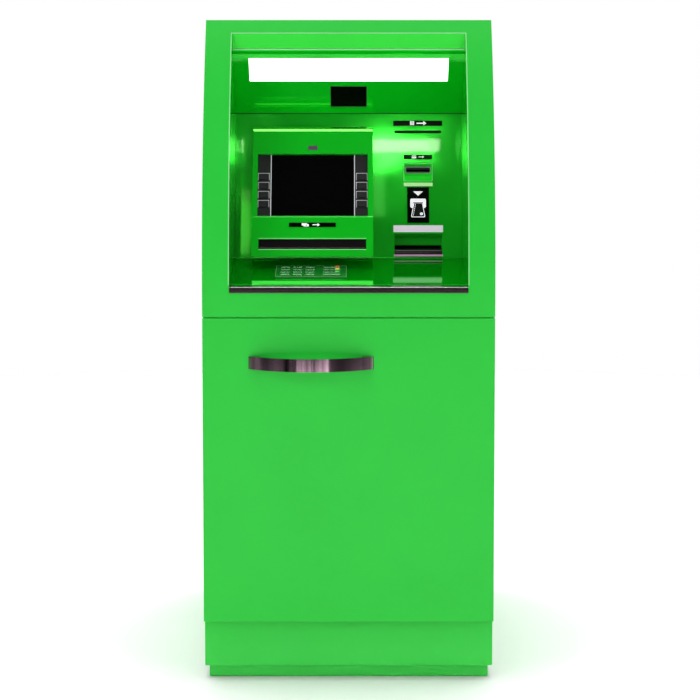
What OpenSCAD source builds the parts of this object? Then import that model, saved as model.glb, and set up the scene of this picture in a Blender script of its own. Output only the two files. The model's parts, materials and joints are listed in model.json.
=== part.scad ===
/* [Cabinet] */
// Width of the cabinet
cabinet_w = 640; // [630:2:660]
// Depth of the cabinet from the door's face to the rear cover
cabinet_d = 850; // [830:10:900]
// Height of the cabinet
cabinet_h = 1466; // [1460:1:1480]
// Thickness of the outer sheet metal
sheet = 3; // [2.5:0.5:3.5]
// Height of the foot under the plinth
foot_h = 28; // [22:1:32]
// Height of the plinth's top edge
plinth_top = 131; // [120:1:132]

/* [Service door] */
// Height of the door's top edge
door_top = 807; // [800:1:808]
// Depth of the door's folded edges
door_d = 20; // [18:1:20]
// Length of the handle between its ends
handle_l = 274; // [240:2:300]
// How far the handle stands out of the door
handle_out = 62; // [50:1:70]
// Height of the handle's flat bar
handle_h = 28; // [20:1:34]

/* [Hood] */
// Depth of the hood
hood_d = 430; // [420:5:430]
// Height at which the hood's face begins to lean back
curve_z = 835; // [830:1:850]
// Radius of the hood's curved face
curve_r = 1440; // [1400:10:1500]
// Width of the recess
recess_w = 522; // [510:2:530]
// Height of the recess's upper edge
recess_top = 1435; // [1420:1:1438]
// Height of the sill at the shelf's front edge
sill_z = 875; // [865:1:880]
// Slope of the shelf in degrees
shelf_tilt = 15.1; // [14.9:0.1:15.3]

/* [Screen console] */
// Width of the console
console_w = 275; // [270:1:280]
// Distance of the console's middle from the cabinet's middle
console_x = -82; // [-90:1:-80]
// Width of the screen opening
screen_w = 251; // [246:1:253]
// Height of the screen opening along the face
screen_h = 150; // [146:1:152]
// Travel of the screen keys
screen_key_travel = 1.8; // [1:0.1:2]

/* [PIN pad] */
// Width of the pad's frame
pad_w = 159; // [158:1:162]
// Length of the pad's frame along the shelf
pad_l = 78; // [78:1:80]
// Travel of the pad's keys
pin_key_travel = 2; // [1:0.1:2.2]

/* [Card and paper side] */
// Distance of the card and paper column from the cabinet's middle
column_x = 160; // [155:1:162]
// Radius of the outlet roller
roller_r = 11; // [10:0.5:11.5]

/* [Safe] */
// Width of the safe
safe_w = 570; // [560:2:572]
// Thickness of the safe's walls
safe_wall = 12; // [10:1:12]
// Height of the safe's roof
safe_top = 775; // [765:1:778]
// Radius of the floor anchor holes
anchor_r = 9; // [7:0.5:10]

/* [Hidden] */

$fn = 48;
eps = 0.5;
half_w = cabinet_w / 2;
front_y = -(cabinet_d + handle_out) / 2 + handle_out;

// colours
green = [0.16, 0.75, 0.25];
deep_green = [0.05, 0.55, 0.12];
dark_chrome = [0.24, 0.2, 0.22];
black_part = [0.05, 0.05, 0.06];
steel = [0.62, 0.64, 0.66];
dark_steel = [0.3, 0.31, 0.33];
white_part = [0.95, 0.95, 0.96];

// gaps between the outer pieces
hood_z = door_top + 3.5;
door_z = plinth_top + 3.5;
panel_z = plinth_top + 3;
rear_box_d = hood_d + 12;
lower_panel_d = 32;
inner_w = half_w - sheet;

// hinges
hinge_x = half_w - 4.8;
knuckle_r = 4.2;
pin_r = 2.2;
pin_bore_r = 2.25;
knuckle_h = 18;
knuckle_gap = 0.5;
leaf_t = 1.8;
leaf_l = 28;
door_hinge_d = 25;
hood_hinge_d = hood_d + 6;
door_hinge_z = [200, 660];
hood_hinge_z = [900, 1320];

// frame posts
post = 26;
post_t = 3;
post_x = hinge_x - knuckle_r;
deck_z = safe_top + 6;
deck_t = 6;

// recess profile: shelf, back wall, header
shelf_back_d = 196;
shelf_back_z = sill_z + shelf_back_d * tan(shelf_tilt);
seam_d = 260;
seam_z = 1261;
wall_tilt = atan((seam_d - shelf_back_d) / (seam_z - shelf_back_z));
wall_l = norm([seam_d - shelf_back_d, seam_z - shelf_back_z]);
lip_d = 153;
lip_z = 1400;
header_tilt = 37.6;
header_l = 164;
wall_t = 2.5;
trim_h = 13;

// console face
face_d = 121;
face_z = 936;
face_tilt = 19.3;
face_l = 312;
step_g = 94;
step_out = 3;
screen_g = 96;
slot_w = 243;
slot_g = 17;
slot_h = 23;
strip_out = -9;
glass_out = -12;
strip_w = 29;
screen_key = [23, 15];
screen_key_x = 111.8;
screen_key_g = 192.5;
screen_key_pitch = 21.7;

// PIN pad
pad_x = -84;
pad_t0 = 62;
pad_proud = 3;
pin_key = [21.6, 13];
function_key_w = 39.5;
pin_row_t = 127.8;
pin_row_pitch = 17.8;
pin_col_x = [-57.3, -29.8, -2.5, 46.2];
key_gap = 0.4;

// card and paper column, heights along the back wall
bezel_w = 66.6;
bezel_h = 55;
bezel_g = 166.6;
card_slot_g = bezel_g + 39;
receipt_g = 296.3;
receipt_slit = 6;
tray_w = 116;
tray_h = 58;
roller_g = 13;
axle_r = 3;

// safe
safe_d0 = 112;
safe_d1 = 790;
safe_door_d = 98;
safe_door_t = 13.5;
bolt_r = 11;
bolt_z = [180, 400, 620];
bolt_d = 128;
lever_x = -110;
lever_z = 400;
shaft_r = 8;
anchor_x = 220;
anchor_d = [200, 700];
feed_x = [-210, 46];
feed_d = [452, 548];

// a block between two corners, with depth measured from the door's face
module block(x0, x1, d0, d1, z0, z1) {
    translate([x0, d0, z0])
        cube([x1 - x0, d1 - d0, z1 - z0]);
}

// an outline in depth and height, extruded along the cabinet's width
module side_profile(x0, x1, outline) {
    translate([x0, 0, 0])
        rotate([90, 0, 90])
            linear_extrude(height = x1 - x0)
                polygon(outline);
}

// every module below measures depth from the door's face
module from_face() {
    translate([0, front_y, 0])
        children();
}

// local frames: x across, y into the surface, z up along it
module on_wall(g) {
    from_face()
        translate([0, shelf_back_d, shelf_back_z])
            rotate([-wall_tilt, 0, 0])
                translate([0, 0, g])
                    children();
}
module on_console(g) {
    from_face()
        translate([console_x, face_d, face_z])
            rotate([-face_tilt, 0, 0])
                translate([0, 0, g])
                    children();
}
module on_header(g) {
    from_face()
        translate([0, seam_d, seam_z])
            rotate([header_tilt, 0, 0])
                translate([0, 0, g])
                    children();
}
// local frame of the shelf: x across, y up the slope, z out of the surface
module on_shelf() {
    from_face()
        translate([0, 0, sill_z])
            rotate([shelf_tilt, 0, 0])
                children();
}

// a plate centred on x and z, with y from y0 to y1
module plate(w, h, y0, y1) {
    translate([-w / 2, y0, -h / 2])
        cube([w, y1 - y0, h]);
}

// the point of the console's outline at height g along the face, standing out by o
function console_pt(g, o) = [
    face_d + g * sin(face_tilt) - o * cos(face_tilt),
    face_z + g * cos(face_tilt) + o * sin(face_tilt)];

// the point of the header's outline at height g along it, o in front of it
function header_pt(g, o) = [
    seam_d - g * sin(header_tilt) - o * cos(header_tilt),
    seam_z + g * cos(header_tilt) - o * sin(header_tilt)];

// the point of the back wall's outline at height g along it, o in front of it
function wall_pt(g, o) = [
    shelf_back_d + g * sin(wall_tilt) - o * cos(wall_tilt),
    shelf_back_z + g * cos(wall_tilt) + o * sin(wall_tilt)];

// ---------------------------------------------------------------- hinges
// knuckles of one hinge; the cabinet's leaf runs back, a moving leaf runs along leaf_dir
module knuckle(hinge_d, z, leaf_dir) {
    h = knuckle_h - knuckle_gap;
    difference() {
        union() {
            translate([hinge_x, hinge_d, z])
                cylinder(r = knuckle_r, h = h);
            if (leaf_dir == "back")
                block(hinge_x - knuckle_r, hinge_x - knuckle_r + leaf_t, hinge_d, hinge_d + 8, z, z + h);
            if (leaf_dir == "front")
                block(hinge_x - knuckle_r, hinge_x - knuckle_r + leaf_t, hinge_d - 8, hinge_d, z, z + h);
            if (leaf_dir == "side")
                block(hinge_x - 8, hinge_x, hinge_d - knuckle_r, hinge_d - knuckle_r + leaf_t, z, z + h);
        }
        translate([hinge_x, hinge_d, z - 1])
            cylinder(r = pin_bore_r, h = knuckle_h + 2);
    }
}

module fixed_leaf(hinge_d, z) {
    for (i = [0, 2, 4])
        knuckle(hinge_d, z + i * knuckle_h, "back");
    block(hinge_x - knuckle_r, hinge_x - knuckle_r + leaf_t,
        hinge_d + 6, hinge_d + leaf_l, z, z + 5 * knuckle_h);
}

// ---------------------------------------------------------------- cabinet
module base_frame() {
    color(green) from_face() difference() {
        block(-half_w + 9, half_w - 9, 42, cabinet_d - 8, 0, foot_h);
        block(-half_w + 13, half_w - 13, 46, cabinet_d - 12, 8, foot_h + 1);
        for (x = [-anchor_x, anchor_x])
            for (d = anchor_d)
                translate([x, d, -1])
                    cylinder(r = anchor_r, h = 10);
    }
    // stiffening bars that carry the safe
    color(green) from_face()
        for (x = [-160, 120])
            block(x, x + 40, 60, cabinet_d - 30, 8, foot_h);
}

module plinth_skirt() {
    color(green) from_face() difference() {
        block(-half_w, half_w, 28, cabinet_d, foot_h, plinth_top);
        block(-inner_w, inner_w, 28 + sheet, cabinet_d - sheet, foot_h - 1, plinth_top + 1);
    }
}

module angle_post(x, d, z0, z1, open_x, open_d) {
    translate([x, d, z0]) difference() {
        translate([-post / 2, -post / 2, 0])
            cube([post, post, z1 - z0]);
        translate([-post / 2 + open_x * post_t, -post / 2 + open_d * post_t, -1])
            cube([post, post, z1 - z0 + 2]);
    }
}

module cabinet_frame() {
    xc = post_x - post / 2;
    color(dark_steel) from_face() {
        for (s = [-1, 1]) {
            angle_post(s * xc, 33 + post / 2, foot_h, deck_z, -s, 1);
            angle_post(s * xc, cabinet_d - sheet - post / 2 - 1, foot_h, cabinet_h - sheet, -s, -1);
            angle_post(s * xc, rear_box_d + 1 + post / 2, deck_z + deck_t, cabinet_h - sheet, -s, 1);
        }
        difference() {
            block(-post_x, post_x, 33, cabinet_d - sheet - 1, deck_z, deck_z + deck_t);
            block(feed_x[0], feed_x[1], feed_d[0], feed_d[1], deck_z - 1, deck_z + deck_t + 1);
        }
        // top rails between the posts
        for (d = [rear_box_d + 1, cabinet_d - sheet - 1 - post_t])
            block(-post_x + post_t, post_x - post_t, d, d + post_t,
                cabinet_h - sheet - post, cabinet_h - sheet);
        for (z = door_hinge_z)
            fixed_leaf(door_hinge_d, z);
        for (z = hood_hinge_z)
            fixed_leaf(hood_hinge_d, z);
    }
}

module side_panels() {
    color(green) from_face()
        for (x = [-half_w, inner_w])
            side_profile(x, x + sheet, [
                [lower_panel_d, panel_z], [cabinet_d, panel_z],
                [cabinet_d, cabinet_h - sheet], [rear_box_d, cabinet_h - sheet],
                [rear_box_d, door_top], [lower_panel_d, door_top]]);
}

module top_cover() {
    color(green) from_face()
        block(-half_w, half_w, rear_box_d, cabinet_d, cabinet_h - sheet, cabinet_h);
}

module louvres(x, z, rows) {
    for (i = [0 : rows - 1])
        block(x - 90, x + 90, cabinet_d - 5, cabinet_d + 1, z + i * 14, z + i * 14 + 5);
}

module rear_cover() {
    color(green) from_face() difference() {
        block(-inner_w + eps, inner_w - eps, cabinet_d - sheet, cabinet_d, panel_z, cabinet_h - sheet - eps);
        louvres(-150, 1240, 10);
        louvres(150, 1240, 10);
        louvres(-150, 860, 10);
        louvres(150, 860, 10);
        block(200, 250, cabinet_d - 5, cabinet_d + 1, 180, 210);
        translate([150, cabinet_d + 1, 195]) rotate([90, 0, 0]) cylinder(r = 12.1, h = 6);
    }
}

module power_inlet() {
    // the mains socket, its flange behind the cover's cut-out
    color(black_part) from_face() difference() {
        union() {
            block(194, 256, cabinet_d - 6, cabinet_d - sheet, 174, 216);
            block(203, 247, cabinet_d - 34, cabinet_d - 6, 183, 207);
        }
        block(206, 244, cabinet_d - 22, cabinet_d, 186, 204);
    }
    color(black_part) from_face()
        for (x = [215, 225, 235])
            block(x - 1, x + 1, cabinet_d - 22, cabinet_d - 8, 193, 197);
    // the cable gland
    color(black_part) from_face() translate([150, cabinet_d, 195]) rotate([90, 0, 0]) difference() {
        union() {
            cylinder(r = 12, h = 24);
            translate([0, 0, sheet + 0.1]) cylinder(r = 16, h = 5);
        }
        translate([0, 0, -1]) cylinder(r = 8, h = 26);
    }
}

module hinge_pins() {
    color(steel) from_face() {
        for (z = door_hinge_z) hinge_pin(door_hinge_d, z);
        for (z = hood_hinge_z) hinge_pin(hood_hinge_d, z);
    }
}
module hinge_pin(d, z) {
    translate([hinge_x, d, z - 2])
        cylinder(r = pin_r, h = 5 * knuckle_h + 2);
    translate([hinge_x, d, z + 5 * knuckle_h - knuckle_gap])
        cylinder(r = 3.8, h = 2);
}

// a sheet-metal case, hollow, with walls t thick
module case_shell(x0, x1, d0, d1, z0, z1, t) {
    difference() {
        block(x0, x1, d0, d1, z0, z1);
        block(x0 + t, x1 - t, d0 + t, d1 - t, z0 + t, z1 - t);
    }
}

module computer() {
    floor_z = deck_z + deck_t;
    case_t = 2;
    color(dark_steel) from_face() difference() {
        case_shell(-250, -30, 550, 820, floor_z, floor_z + 330, case_t);
        for (i = [0 : 7])
            block(-225, -55, 549, 553, floor_z + 34 + i * 12, floor_z + 39 + i * 12);
    }
    // drive carrier in the upper front
    color(dark_steel) from_face()
        block(-225, -55, 546, 550, floor_z + 250, floor_z + 292);
    // power supply beside it
    color(dark_steel) from_face() difference() {
        case_shell(60, 240, 580, 820, floor_z, floor_z + 150, case_t);
        for (i = [0 : 5])
            block(80, 220, 579, 583, floor_z + 34 + i * 14, floor_z + 40 + i * 14);
    }
}

// ---------------------------------------------------------------- safe
module safe_shell() {
    hw = safe_w / 2;
    color(dark_steel) from_face() difference() {
        block(-hw, hw, safe_d0, safe_d1, foot_h, safe_top);
        block(-hw + safe_wall, hw - safe_wall, safe_d0 - 1, safe_d1 - safe_wall,
            foot_h + safe_wall, safe_top - safe_wall);
        block(feed_x[0], feed_x[1], feed_d[0], feed_d[1], safe_top - safe_wall - 1, safe_top + 1);
        for (x = [-anchor_x, anchor_x])
            for (d = anchor_d)
                translate([x, d, foot_h - 1])
                    cylinder(r = anchor_r, h = safe_wall + 2);
        // pockets for the bolts
        for (z = bolt_z)
            translate([-hw + 3, bolt_d, z])
                rotate([0, 90, 0])
                    cylinder(r = bolt_r + 0.5, h = safe_wall);
    }
}

module safe_door() {
    hw = safe_w / 2 - 1;
    back = safe_door_d + safe_door_t;
    color(steel) from_face() difference() {
        union() {
            block(-hw, hw, safe_door_d, back, foot_h + 3, safe_top - 3);
            // bolt guides
            for (z = bolt_z)
                block(-hw + 24, -hw + 40, back, bolt_d + bolt_r + 6, z - 20, z + 20);
            // lock case behind the plate
            block(-70, 70, back, back + 28, 440, 560);
            // hinge barrels
            for (z = [150, 560])
                translate([hw - 14, safe_door_d - 9, z]) cylinder(r = 9, h = 80);
            // combination lock housing
            translate([40, safe_door_d, 500]) rotate([90, 0, 0]) cylinder(r = 42, h = 22);
        }
        for (z = bolt_z)
            translate([-hw + 23, bolt_d, z])
                rotate([0, 90, 0])
                    cylinder(r = bolt_r + 0.4, h = 18);
        translate([lever_x, back + 1, lever_z])
            rotate([90, 0, 0])
                cylinder(r = shaft_r + 0.08, h = safe_door_t + 2);
    }
}

module safe_lever() {
    // the shaft runs through the door to a cam disc; the bar is level when locked
    color(steel) from_face() translate([lever_x, 0, lever_z]) {
        translate([0, safe_door_d + safe_door_t + 10.5, 0]) rotate([90, 0, 0]) cylinder(r = shaft_r, h = 40);
        translate([0, safe_door_d + safe_door_t + 10.5, 0]) rotate([90, 0, 0]) cylinder(r = 26, h = 10);
        translate([0, safe_door_d - 0.5, 0]) rotate([90, 0, 0]) cylinder(r = 24, h = 14);
        block(-10, 130, 72, 84, -9, 9);
        translate([130, 84, 0]) rotate([90, 0, 0]) cylinder(r = 9, h = 12);
    }
}

module safe_bolts() {
    x0 = -safe_w / 2 + 5;
    color(steel) from_face() {
        for (z = bolt_z)
            translate([x0, bolt_d, z])
                rotate([0, 90, 0])
                    cylinder(r = bolt_r, h = 68);
        block(x0 + 68, x0 + 80, bolt_d - 8, bolt_d + 8, bolt_z[0] - 20, bolt_z[2] + 20);
    }
}

module cash_cassettes() {
    color(black_part) from_face()
        for (i = [0 : 4]) {
            block(-104, 104, 160, 560, 54 + i * 114, 54 + i * 114 + 104);
            // folded grip and lock on the front
            block(-60, 60, 154, 160, 80 + i * 114, 104 + i * 114);
            translate([82, 160, 92 + i * 114]) rotate([90, 0, 0]) cylinder(r = 9, h = 5);
        }
}

module note_dispenser() {
    plate_t = 3;
    color(steel) from_face() {
        // side plates and bay floors
        for (x = [-110, 107])
            block(x, x + plate_t, 150, 700, foot_h + safe_wall, 752);
        for (i = [0 : 5])
            block(-107, 107, 150, 700, 48 + i * 114, 51 + i * 114);
        // note pick column behind the cassettes
        difference() {
            case_shell(-107, 107, 570, 640, 51, 618, plate_t);
            for (i = [0 : 4])
                block(-80, 80, 569, 574, 70 + i * 114, 140 + i * 114);
        }
        // stacker over the bays
        case_shell(-107, 107, 200, 650, 621, 748, plate_t);
        // transport that rises through the safe's roof and widens to the slot's width
        case_shell(-110, 40, 470, 530, 748, 880, plate_t);
        case_shell(-205, 40, 470, 530, 880, 1010, plate_t);
        // outlet towards the hood
        difference() {
            block(-205, 40, 446, 470, 930, 1000);
            block(-198, 32, 445, 473, 955, 971);
        }
    }
}

// ---------------------------------------------------------------- service door
module door_skin() {
    color(green) from_face() difference() {
        block(-half_w, half_w, 0, door_d, door_z, door_top);
        block(-inner_w, inner_w, sheet, door_d + 1, door_z + sheet, door_top - sheet);
    }
}

module door_stiffener() {
    back = door_d;
    color(dark_steel) from_face() {
        difference() {
            block(-inner_w + eps, inner_w - eps, sheet, back, door_z + sheet + eps, door_top - sheet - eps);
            block(-inner_w + 40, inner_w - 40, sheet - 1, back + 1, door_z + 43, door_top - 43);
        }
        // middle rail behind the handle
        block(-inner_w + 40, inner_w - 40, sheet, back - 4, 690, 730);
        for (z = door_hinge_z) {
            for (i = [1, 3])
                knuckle(door_hinge_d, z + i * knuckle_h, "side");
            block(hinge_x - leaf_l, hinge_x - 6, back, door_hinge_d - knuckle_r + leaf_t, z, z + 5 * knuckle_h);
        }
        // latch tongue at the free edge
        block(-inner_w + 20, -inner_w + 36, back, back + 9, 470, 510);
    }
}

module door_handle() {
    half_l = handle_l / 2;
    r = (half_l * half_l + handle_out * handle_out) / (2 * handle_out);
    color(dark_chrome) from_face() translate([console_x, 0, 695.5]) {
        difference() {
            translate([0, r - handle_out, 0])
                difference() {
                    cylinder(r = r, h = handle_h, $fn = 180);
                    translate([0, 0, -1]) cylinder(r = r - 9, h = handle_h + 2, $fn = 180);
                }
            block(-2 * r, 2 * r, 0, 2 * r, -1, handle_h + 1);
        }
        // mounting feet
        for (s = [-1, 1])
            block(s * (half_l - 14) - 11, s * (half_l - 14) + 11, -4.5, 0, 0, handle_h);
    }
}

// ---------------------------------------------------------------- hood
// the hood's body inside its sheet, with its curved front
module hood_volume(inset, rear) {
    intersection() {
        block(-half_w + inset, half_w - inset, inset, rear, hood_z + inset, cabinet_h - inset);
        union() {
            block(-half_w, half_w, 0, rear + 1, hood_z - 1, curve_z);
            translate([-half_w - 1, curve_r, curve_z])
                rotate([0, 90, 0])
                    cylinder(r = curve_r - inset, h = cabinet_w + 2, $fn = 360);
        }
    }
}

module hood_shell() {
    hr = recess_w / 2;
    color(green) from_face() {
        difference() {
            hood_volume(0, hood_d);
            hood_volume(sheet, hood_d + 10);
            block(-hr, hr, -5, 200, sill_z - trim_h, recess_top);
        }
        for (z = hood_hinge_z) {
            for (i = [1, 3])
                knuckle(hood_hinge_d, z + i * knuckle_h, "front");
            block(hinge_x - knuckle_r, inner_w, hood_hinge_d - leaf_l, hood_d - 2, z, z + 5 * knuckle_h);
            block(hinge_x - knuckle_r, hinge_x - knuckle_r + leaf_t, hood_d - 2, hood_d, z, z + 5 * knuckle_h);
        }
    }
}

module header_panel() {
    hr = recess_w / 2 - 0.1;
    // concave bend between the sloping panel and the lip
    bend = 7;
    top = header_pt(header_l, 0);
    front = [for (i = [0 : bend]) let (u = i / bend)
        [top[0] + (lip_d - top[0]) * u - 3 * sin(180 * u), top[1] + (lip_z - top[1]) * u + 3 * sin(180 * u)]];
    back = [for (p = front) p + [2, 2]];
    color(deep_green) {
        from_face()
            side_profile(-hr, hr, concat(
                front,
                [[133, recess_top - 0.6], [136, recess_top - 0.6]],
                [for (i = [bend : -1 : 0]) back[i]]));
        difference() {
            on_header(0)
                translate([-hr, 0, 1.5])
                    cube([2 * hr, wall_t, header_l - 1.5]);
            on_header(121.8)
                plate(452, 62, -1, 20);
            on_header(48)
                plate(84, 58, -1, 20);
        }
    }
}

module header_light() {
    color(white_part) on_header(121.8)
        plate(451.6, 61.6, -1, 9);
}

module camera_window() {
    color(black_part) {
        on_header(48) plate(90, 64, wall_t, wall_t + 3);
        on_header(48) translate([0, wall_t + 3, 0]) rotate([-90, 0, 0]) cylinder(r = 14, h = 26);
    }
}

module back_wall() {
    hr = recess_w / 2 - 0.1;
    color(deep_green) {
        difference() {
            on_wall(0)
                translate([-hr, 0, 2.5])
                    cube([2 * hr, wall_t, wall_l - 3]);
            // console, card slot, receipt slot and tray
            on_wall(0)
                translate([console_x - console_w / 2 + 6, -1, 14])
                    cube([console_w - 12, 10, 290]);
            on_wall(card_slot_g) translate([column_x, 0, 0]) plate(60, 20, -1, 10);
            on_wall(receipt_g) translate([column_x, 0, 0]) plate(108, receipt_slit, -1, 10);
            on_wall(tray_h / 2 + 1) translate([column_x, 0, 0]) plate(tray_w - 6, tray_h - 4, -1, 10);
        }
        // tray pocket behind the wall, with the roller's bearings
        on_wall(3) translate([column_x, 0, 0]) difference() {
            translate([-tray_w / 2, wall_t, 0]) cube([tray_w, 32, tray_h]);
            translate([-tray_w / 2 + 2, 0, -1]) cube([tray_w - 4, 32, tray_h - 1]);
            translate([-tray_w, 10, roller_g - 3])
                rotate([0, 90, 0])
                    cylinder(r = axle_r + 0.05, h = 2 * tray_w);
        }
    }
}

module exit_roller() {
    color(dark_chrome) on_wall(roller_g) translate([column_x, 10, 0]) rotate([0, 90, 0]) {
        translate([0, 0, -tray_w / 2 + 3.5]) cylinder(r = roller_r, h = tray_w - 7);
        translate([0, 0, -tray_w / 2 - 1]) cylinder(r = axle_r, h = tray_w + 2);
    }
}

module liner_sides() {
    hr = recess_w / 2;
    color(deep_green) from_face()
        for (x = [-hr - wall_t, hr])
            intersection() {
                side_profile(x, x + wall_t, [
                    [sheet + 0.2, sill_z - 20], [shelf_back_d + 12, shelf_back_z - 18],
                    [seam_d + 10, seam_z], [seam_d + 10, seam_z + 16],
                    [lip_d + 20, lip_z + 12], [150, cabinet_h - 24], [sheet + 0.2, cabinet_h - 24]]);
                union() {
                    block(-half_w, half_w, 0, 400, sill_z - 50, curve_z + 8);
                    translate([-half_w - 1, curve_r, curve_z])
                        rotate([0, 90, 0])
                            cylinder(r = curve_r - sheet - 0.2, h = cabinet_w + 2, $fn = 360);
                }
            }
}

module shelf() {
    hr = recess_w / 2 - 0.1;
    slope_l = shelf_back_d / cos(shelf_tilt);
    color(deep_green) on_shelf() difference() {
        translate([-hr, 15, -wall_t]) cube([2 * hr, slope_l - 15.2, wall_t]);
        translate([pad_x - pad_w / 2 + 3, pad_t0 + 3, -5]) cube([pad_w - 6, pad_l - 6, 10]);
    }
}

module sill_trim() {
    hr = recess_w / 2 - 0.1;
    color(dark_chrome) from_face()
        side_profile(-hr, hr, [
            [-1.5, sill_z - trim_h + 0.3], [14, sill_z - trim_h + 0.3],
            [14, sill_z + 3.2], [-0.5, sill_z - 0.3], [-1.5, sill_z - 1.3]]);
}

// ---------------------------------------------------------------- console
function console_outline(t) = [
    [shelf_back_d + 3 + t * 0.2, face_z - 4 + t],
    console_pt(t, step_out - t),
    console_pt(step_g - 2 - t * 0.4, step_out - t),
    console_pt(step_g + 1 - t * 0.4, -t),
    console_pt(259, -t),
    console_pt(face_l - 8, -3 - t),
    console_pt(face_l - 2 - t * 0.4, -6 - t),
    console_pt(face_l - t, -12 - t * 0.4),
    [wall_pt(0, 0)[0] + (face_l - t) * sin(wall_tilt) + 2.5, console_pt(face_l - t, -12)[1] + 3.2]];

module monitor_housing() {
    hw = console_w / 2;
    color(deep_green) {
        difference() {
            from_face() intersection() {
                difference() {
                    side_profile(console_x - hw, console_x + hw, console_outline(0));
                    side_profile(console_x - hw + sheet, console_x + hw - sheet, concat(
                        [[shelf_back_d + 90, face_z - 1]], console_outline(sheet),
                        [[seam_d + 60, console_pt(face_l - sheet, -12)[1] + 3.2]]));
                }
                // keep the casing in front of the back wall
                side_profile(-half_w, half_w, [
                    wall_pt(1, 0.1), wall_pt(wall_l, 0.1), [-50, seam_z], [-50, shelf_back_z]]);
            }
            on_console(screen_g + screen_h / 2) plate(screen_w, screen_h, -5, 10);
            on_console(slot_g + slot_h / 2) plate(slot_w, slot_h, -8, 8);
        }
        // rim that frames the display
        on_console(screen_g + screen_h / 2) difference() {
            plate(screen_w + 4, screen_h + 4, sheet, 10);
            plate(screen_w, screen_h, sheet - 1, 12);
        }
    }
}

module display_unit() {
    gc = screen_g + screen_h / 2;
    sw = screen_w - 1;
    sh = screen_h - 1;
    color(black_part) difference() {
        union() {
            on_console(gc) plate(sw, sh, -glass_out, -glass_out + 45);
            for (s = [-1, 1])
                on_console(gc)
                    translate([s * (sw / 2 - strip_w / 2), 0, 0])
                        plate(strip_w, sh, -strip_out, -glass_out + 1);
        }
        for (s = [-1, 1])
            for (i = [0 : 3])
                on_console(screen_key_g - i * screen_key_pitch)
                    translate([s * screen_key_x, 0, 0])
                        plate(screen_key[0] + 2 * key_gap, screen_key[1] + 2 * key_gap, 0, 18);
    }
}

module screen_key_cap(side, row) {
    color(black_part) on_console(screen_key_g - row * screen_key_pitch)
        translate([side * screen_key_x, 0, 0]) {
            plate(screen_key[0], screen_key[1], 6, 15);
            plate(screen_key[0] - 2, screen_key[1] - 2, 5, 6);
        }
}

module cash_shutter() {
    color(dark_chrome) on_console(slot_g + slot_h / 2)
        plate(slot_w + 8, slot_h + 9, 0.8, 3.2);
}

module cash_chute() {
    z0 = 944;
    z1 = 984;
    hw = slot_w / 2 + 2;
    color(steel) from_face() difference() {
        block(console_x - hw - 2, console_x + hw + 2, 144, hood_d - 2, z0, z1);
        block(console_x - hw, console_x + hw, 140, hood_d, z0 + 2, z1 - 2);
    }
}

// ---------------------------------------------------------------- card and paper side
module card_bezel() {
    hw = bezel_w / 2;
    color(deep_green) on_wall(bezel_g) translate([column_x, 0, 0]) difference() {
        rotate([90, 0, 90])
            translate([0, 0, -hw])
                linear_extrude(height = 2 * hw)
                    polygon([[0, 0], [-8, 0], [-10, 3], [-9, 8], [-4.5, 14], [-4.5, 51], [-3, bezel_h], [0, bezel_h]]);
        translate([-hw + 4, -12, 26]) cube([2 * hw - 8, 9, 22]);
        translate([-27.5, -12, 33]) cube([55, 20, 12]);
    }
}

module card_reader() {
    color(black_part) on_wall(card_slot_g) translate([column_x, 0, 0]) difference() {
        plate(72, 44, wall_t + 0.1, 150);
        plate(55, 5, 0, 120);
    }
    color(black_part) on_wall(card_slot_g) translate([column_x, 0, 0]) difference() {
        plate(57, 16, 0.05, wall_t + 0.1);
        plate(55, 5, -1, 4);
    }
}

module receipt_printer() {
    color(dark_steel) on_wall(receipt_g) translate([column_x, 0, 0]) {
        difference() {
            plate(118, 30, wall_t + 0.1, 120);
            plate(106, receipt_slit + 1, 0, 100);
        }
        translate([0, 95, -28]) rotate([0, 90, 0]) translate([0, 0, -40]) cylinder(r = 30, h = 80);
    }
}

module label_plates() {
    color(black_part) {
        on_wall(316.4) translate([column_x, 0, 0]) plate(114, 12.4, -1.2, 0);
        on_wall(237) translate([column_x, 0, 0]) plate(66, 10.7, -1.2, 0);
        on_wall(124) translate([column_x, 0, 0]) plate(50.5, 83, -1.2, 0);
        on_console(73.7) plate(106, 10.4, -step_out - 1.2, -step_out);
    }
}

// ---------------------------------------------------------------- PIN pad
function key_w(col) = col == 3 ? function_key_w : pin_key[0];

module pin_pad_frame() {
    color(dark_steel) on_shelf() difference() {
        union() {
            translate([pad_x - pad_w / 2, pad_t0, 0]) cube([pad_w, pad_l, pad_proud]);
            translate([pad_x - pad_w / 2 + 4, pad_t0 + 4, -32]) cube([pad_w - 8, pad_l - 8, 32]);
        }
        for (row = [0 : 3])
            for (col = [0 : 3])
                translate([pad_x + pin_col_x[col] - key_w(col) / 2 - key_gap,
                    pin_row_t - row * pin_row_pitch - pin_key[1] / 2 - key_gap, -4])
                    cube([key_w(col) + 2 * key_gap, pin_key[1] + 2 * key_gap, 20]);
    }
}

module pin_key_cap(col, row) {
    color(steel) on_shelf()
        translate([pad_x + pin_col_x[col] - key_w(col) / 2,
            pin_row_t - row * pin_row_pitch - pin_key[1] / 2, -1.2])
            cube([key_w(col), pin_key[1], pad_proud + 1.2 + 3]);
}

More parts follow.
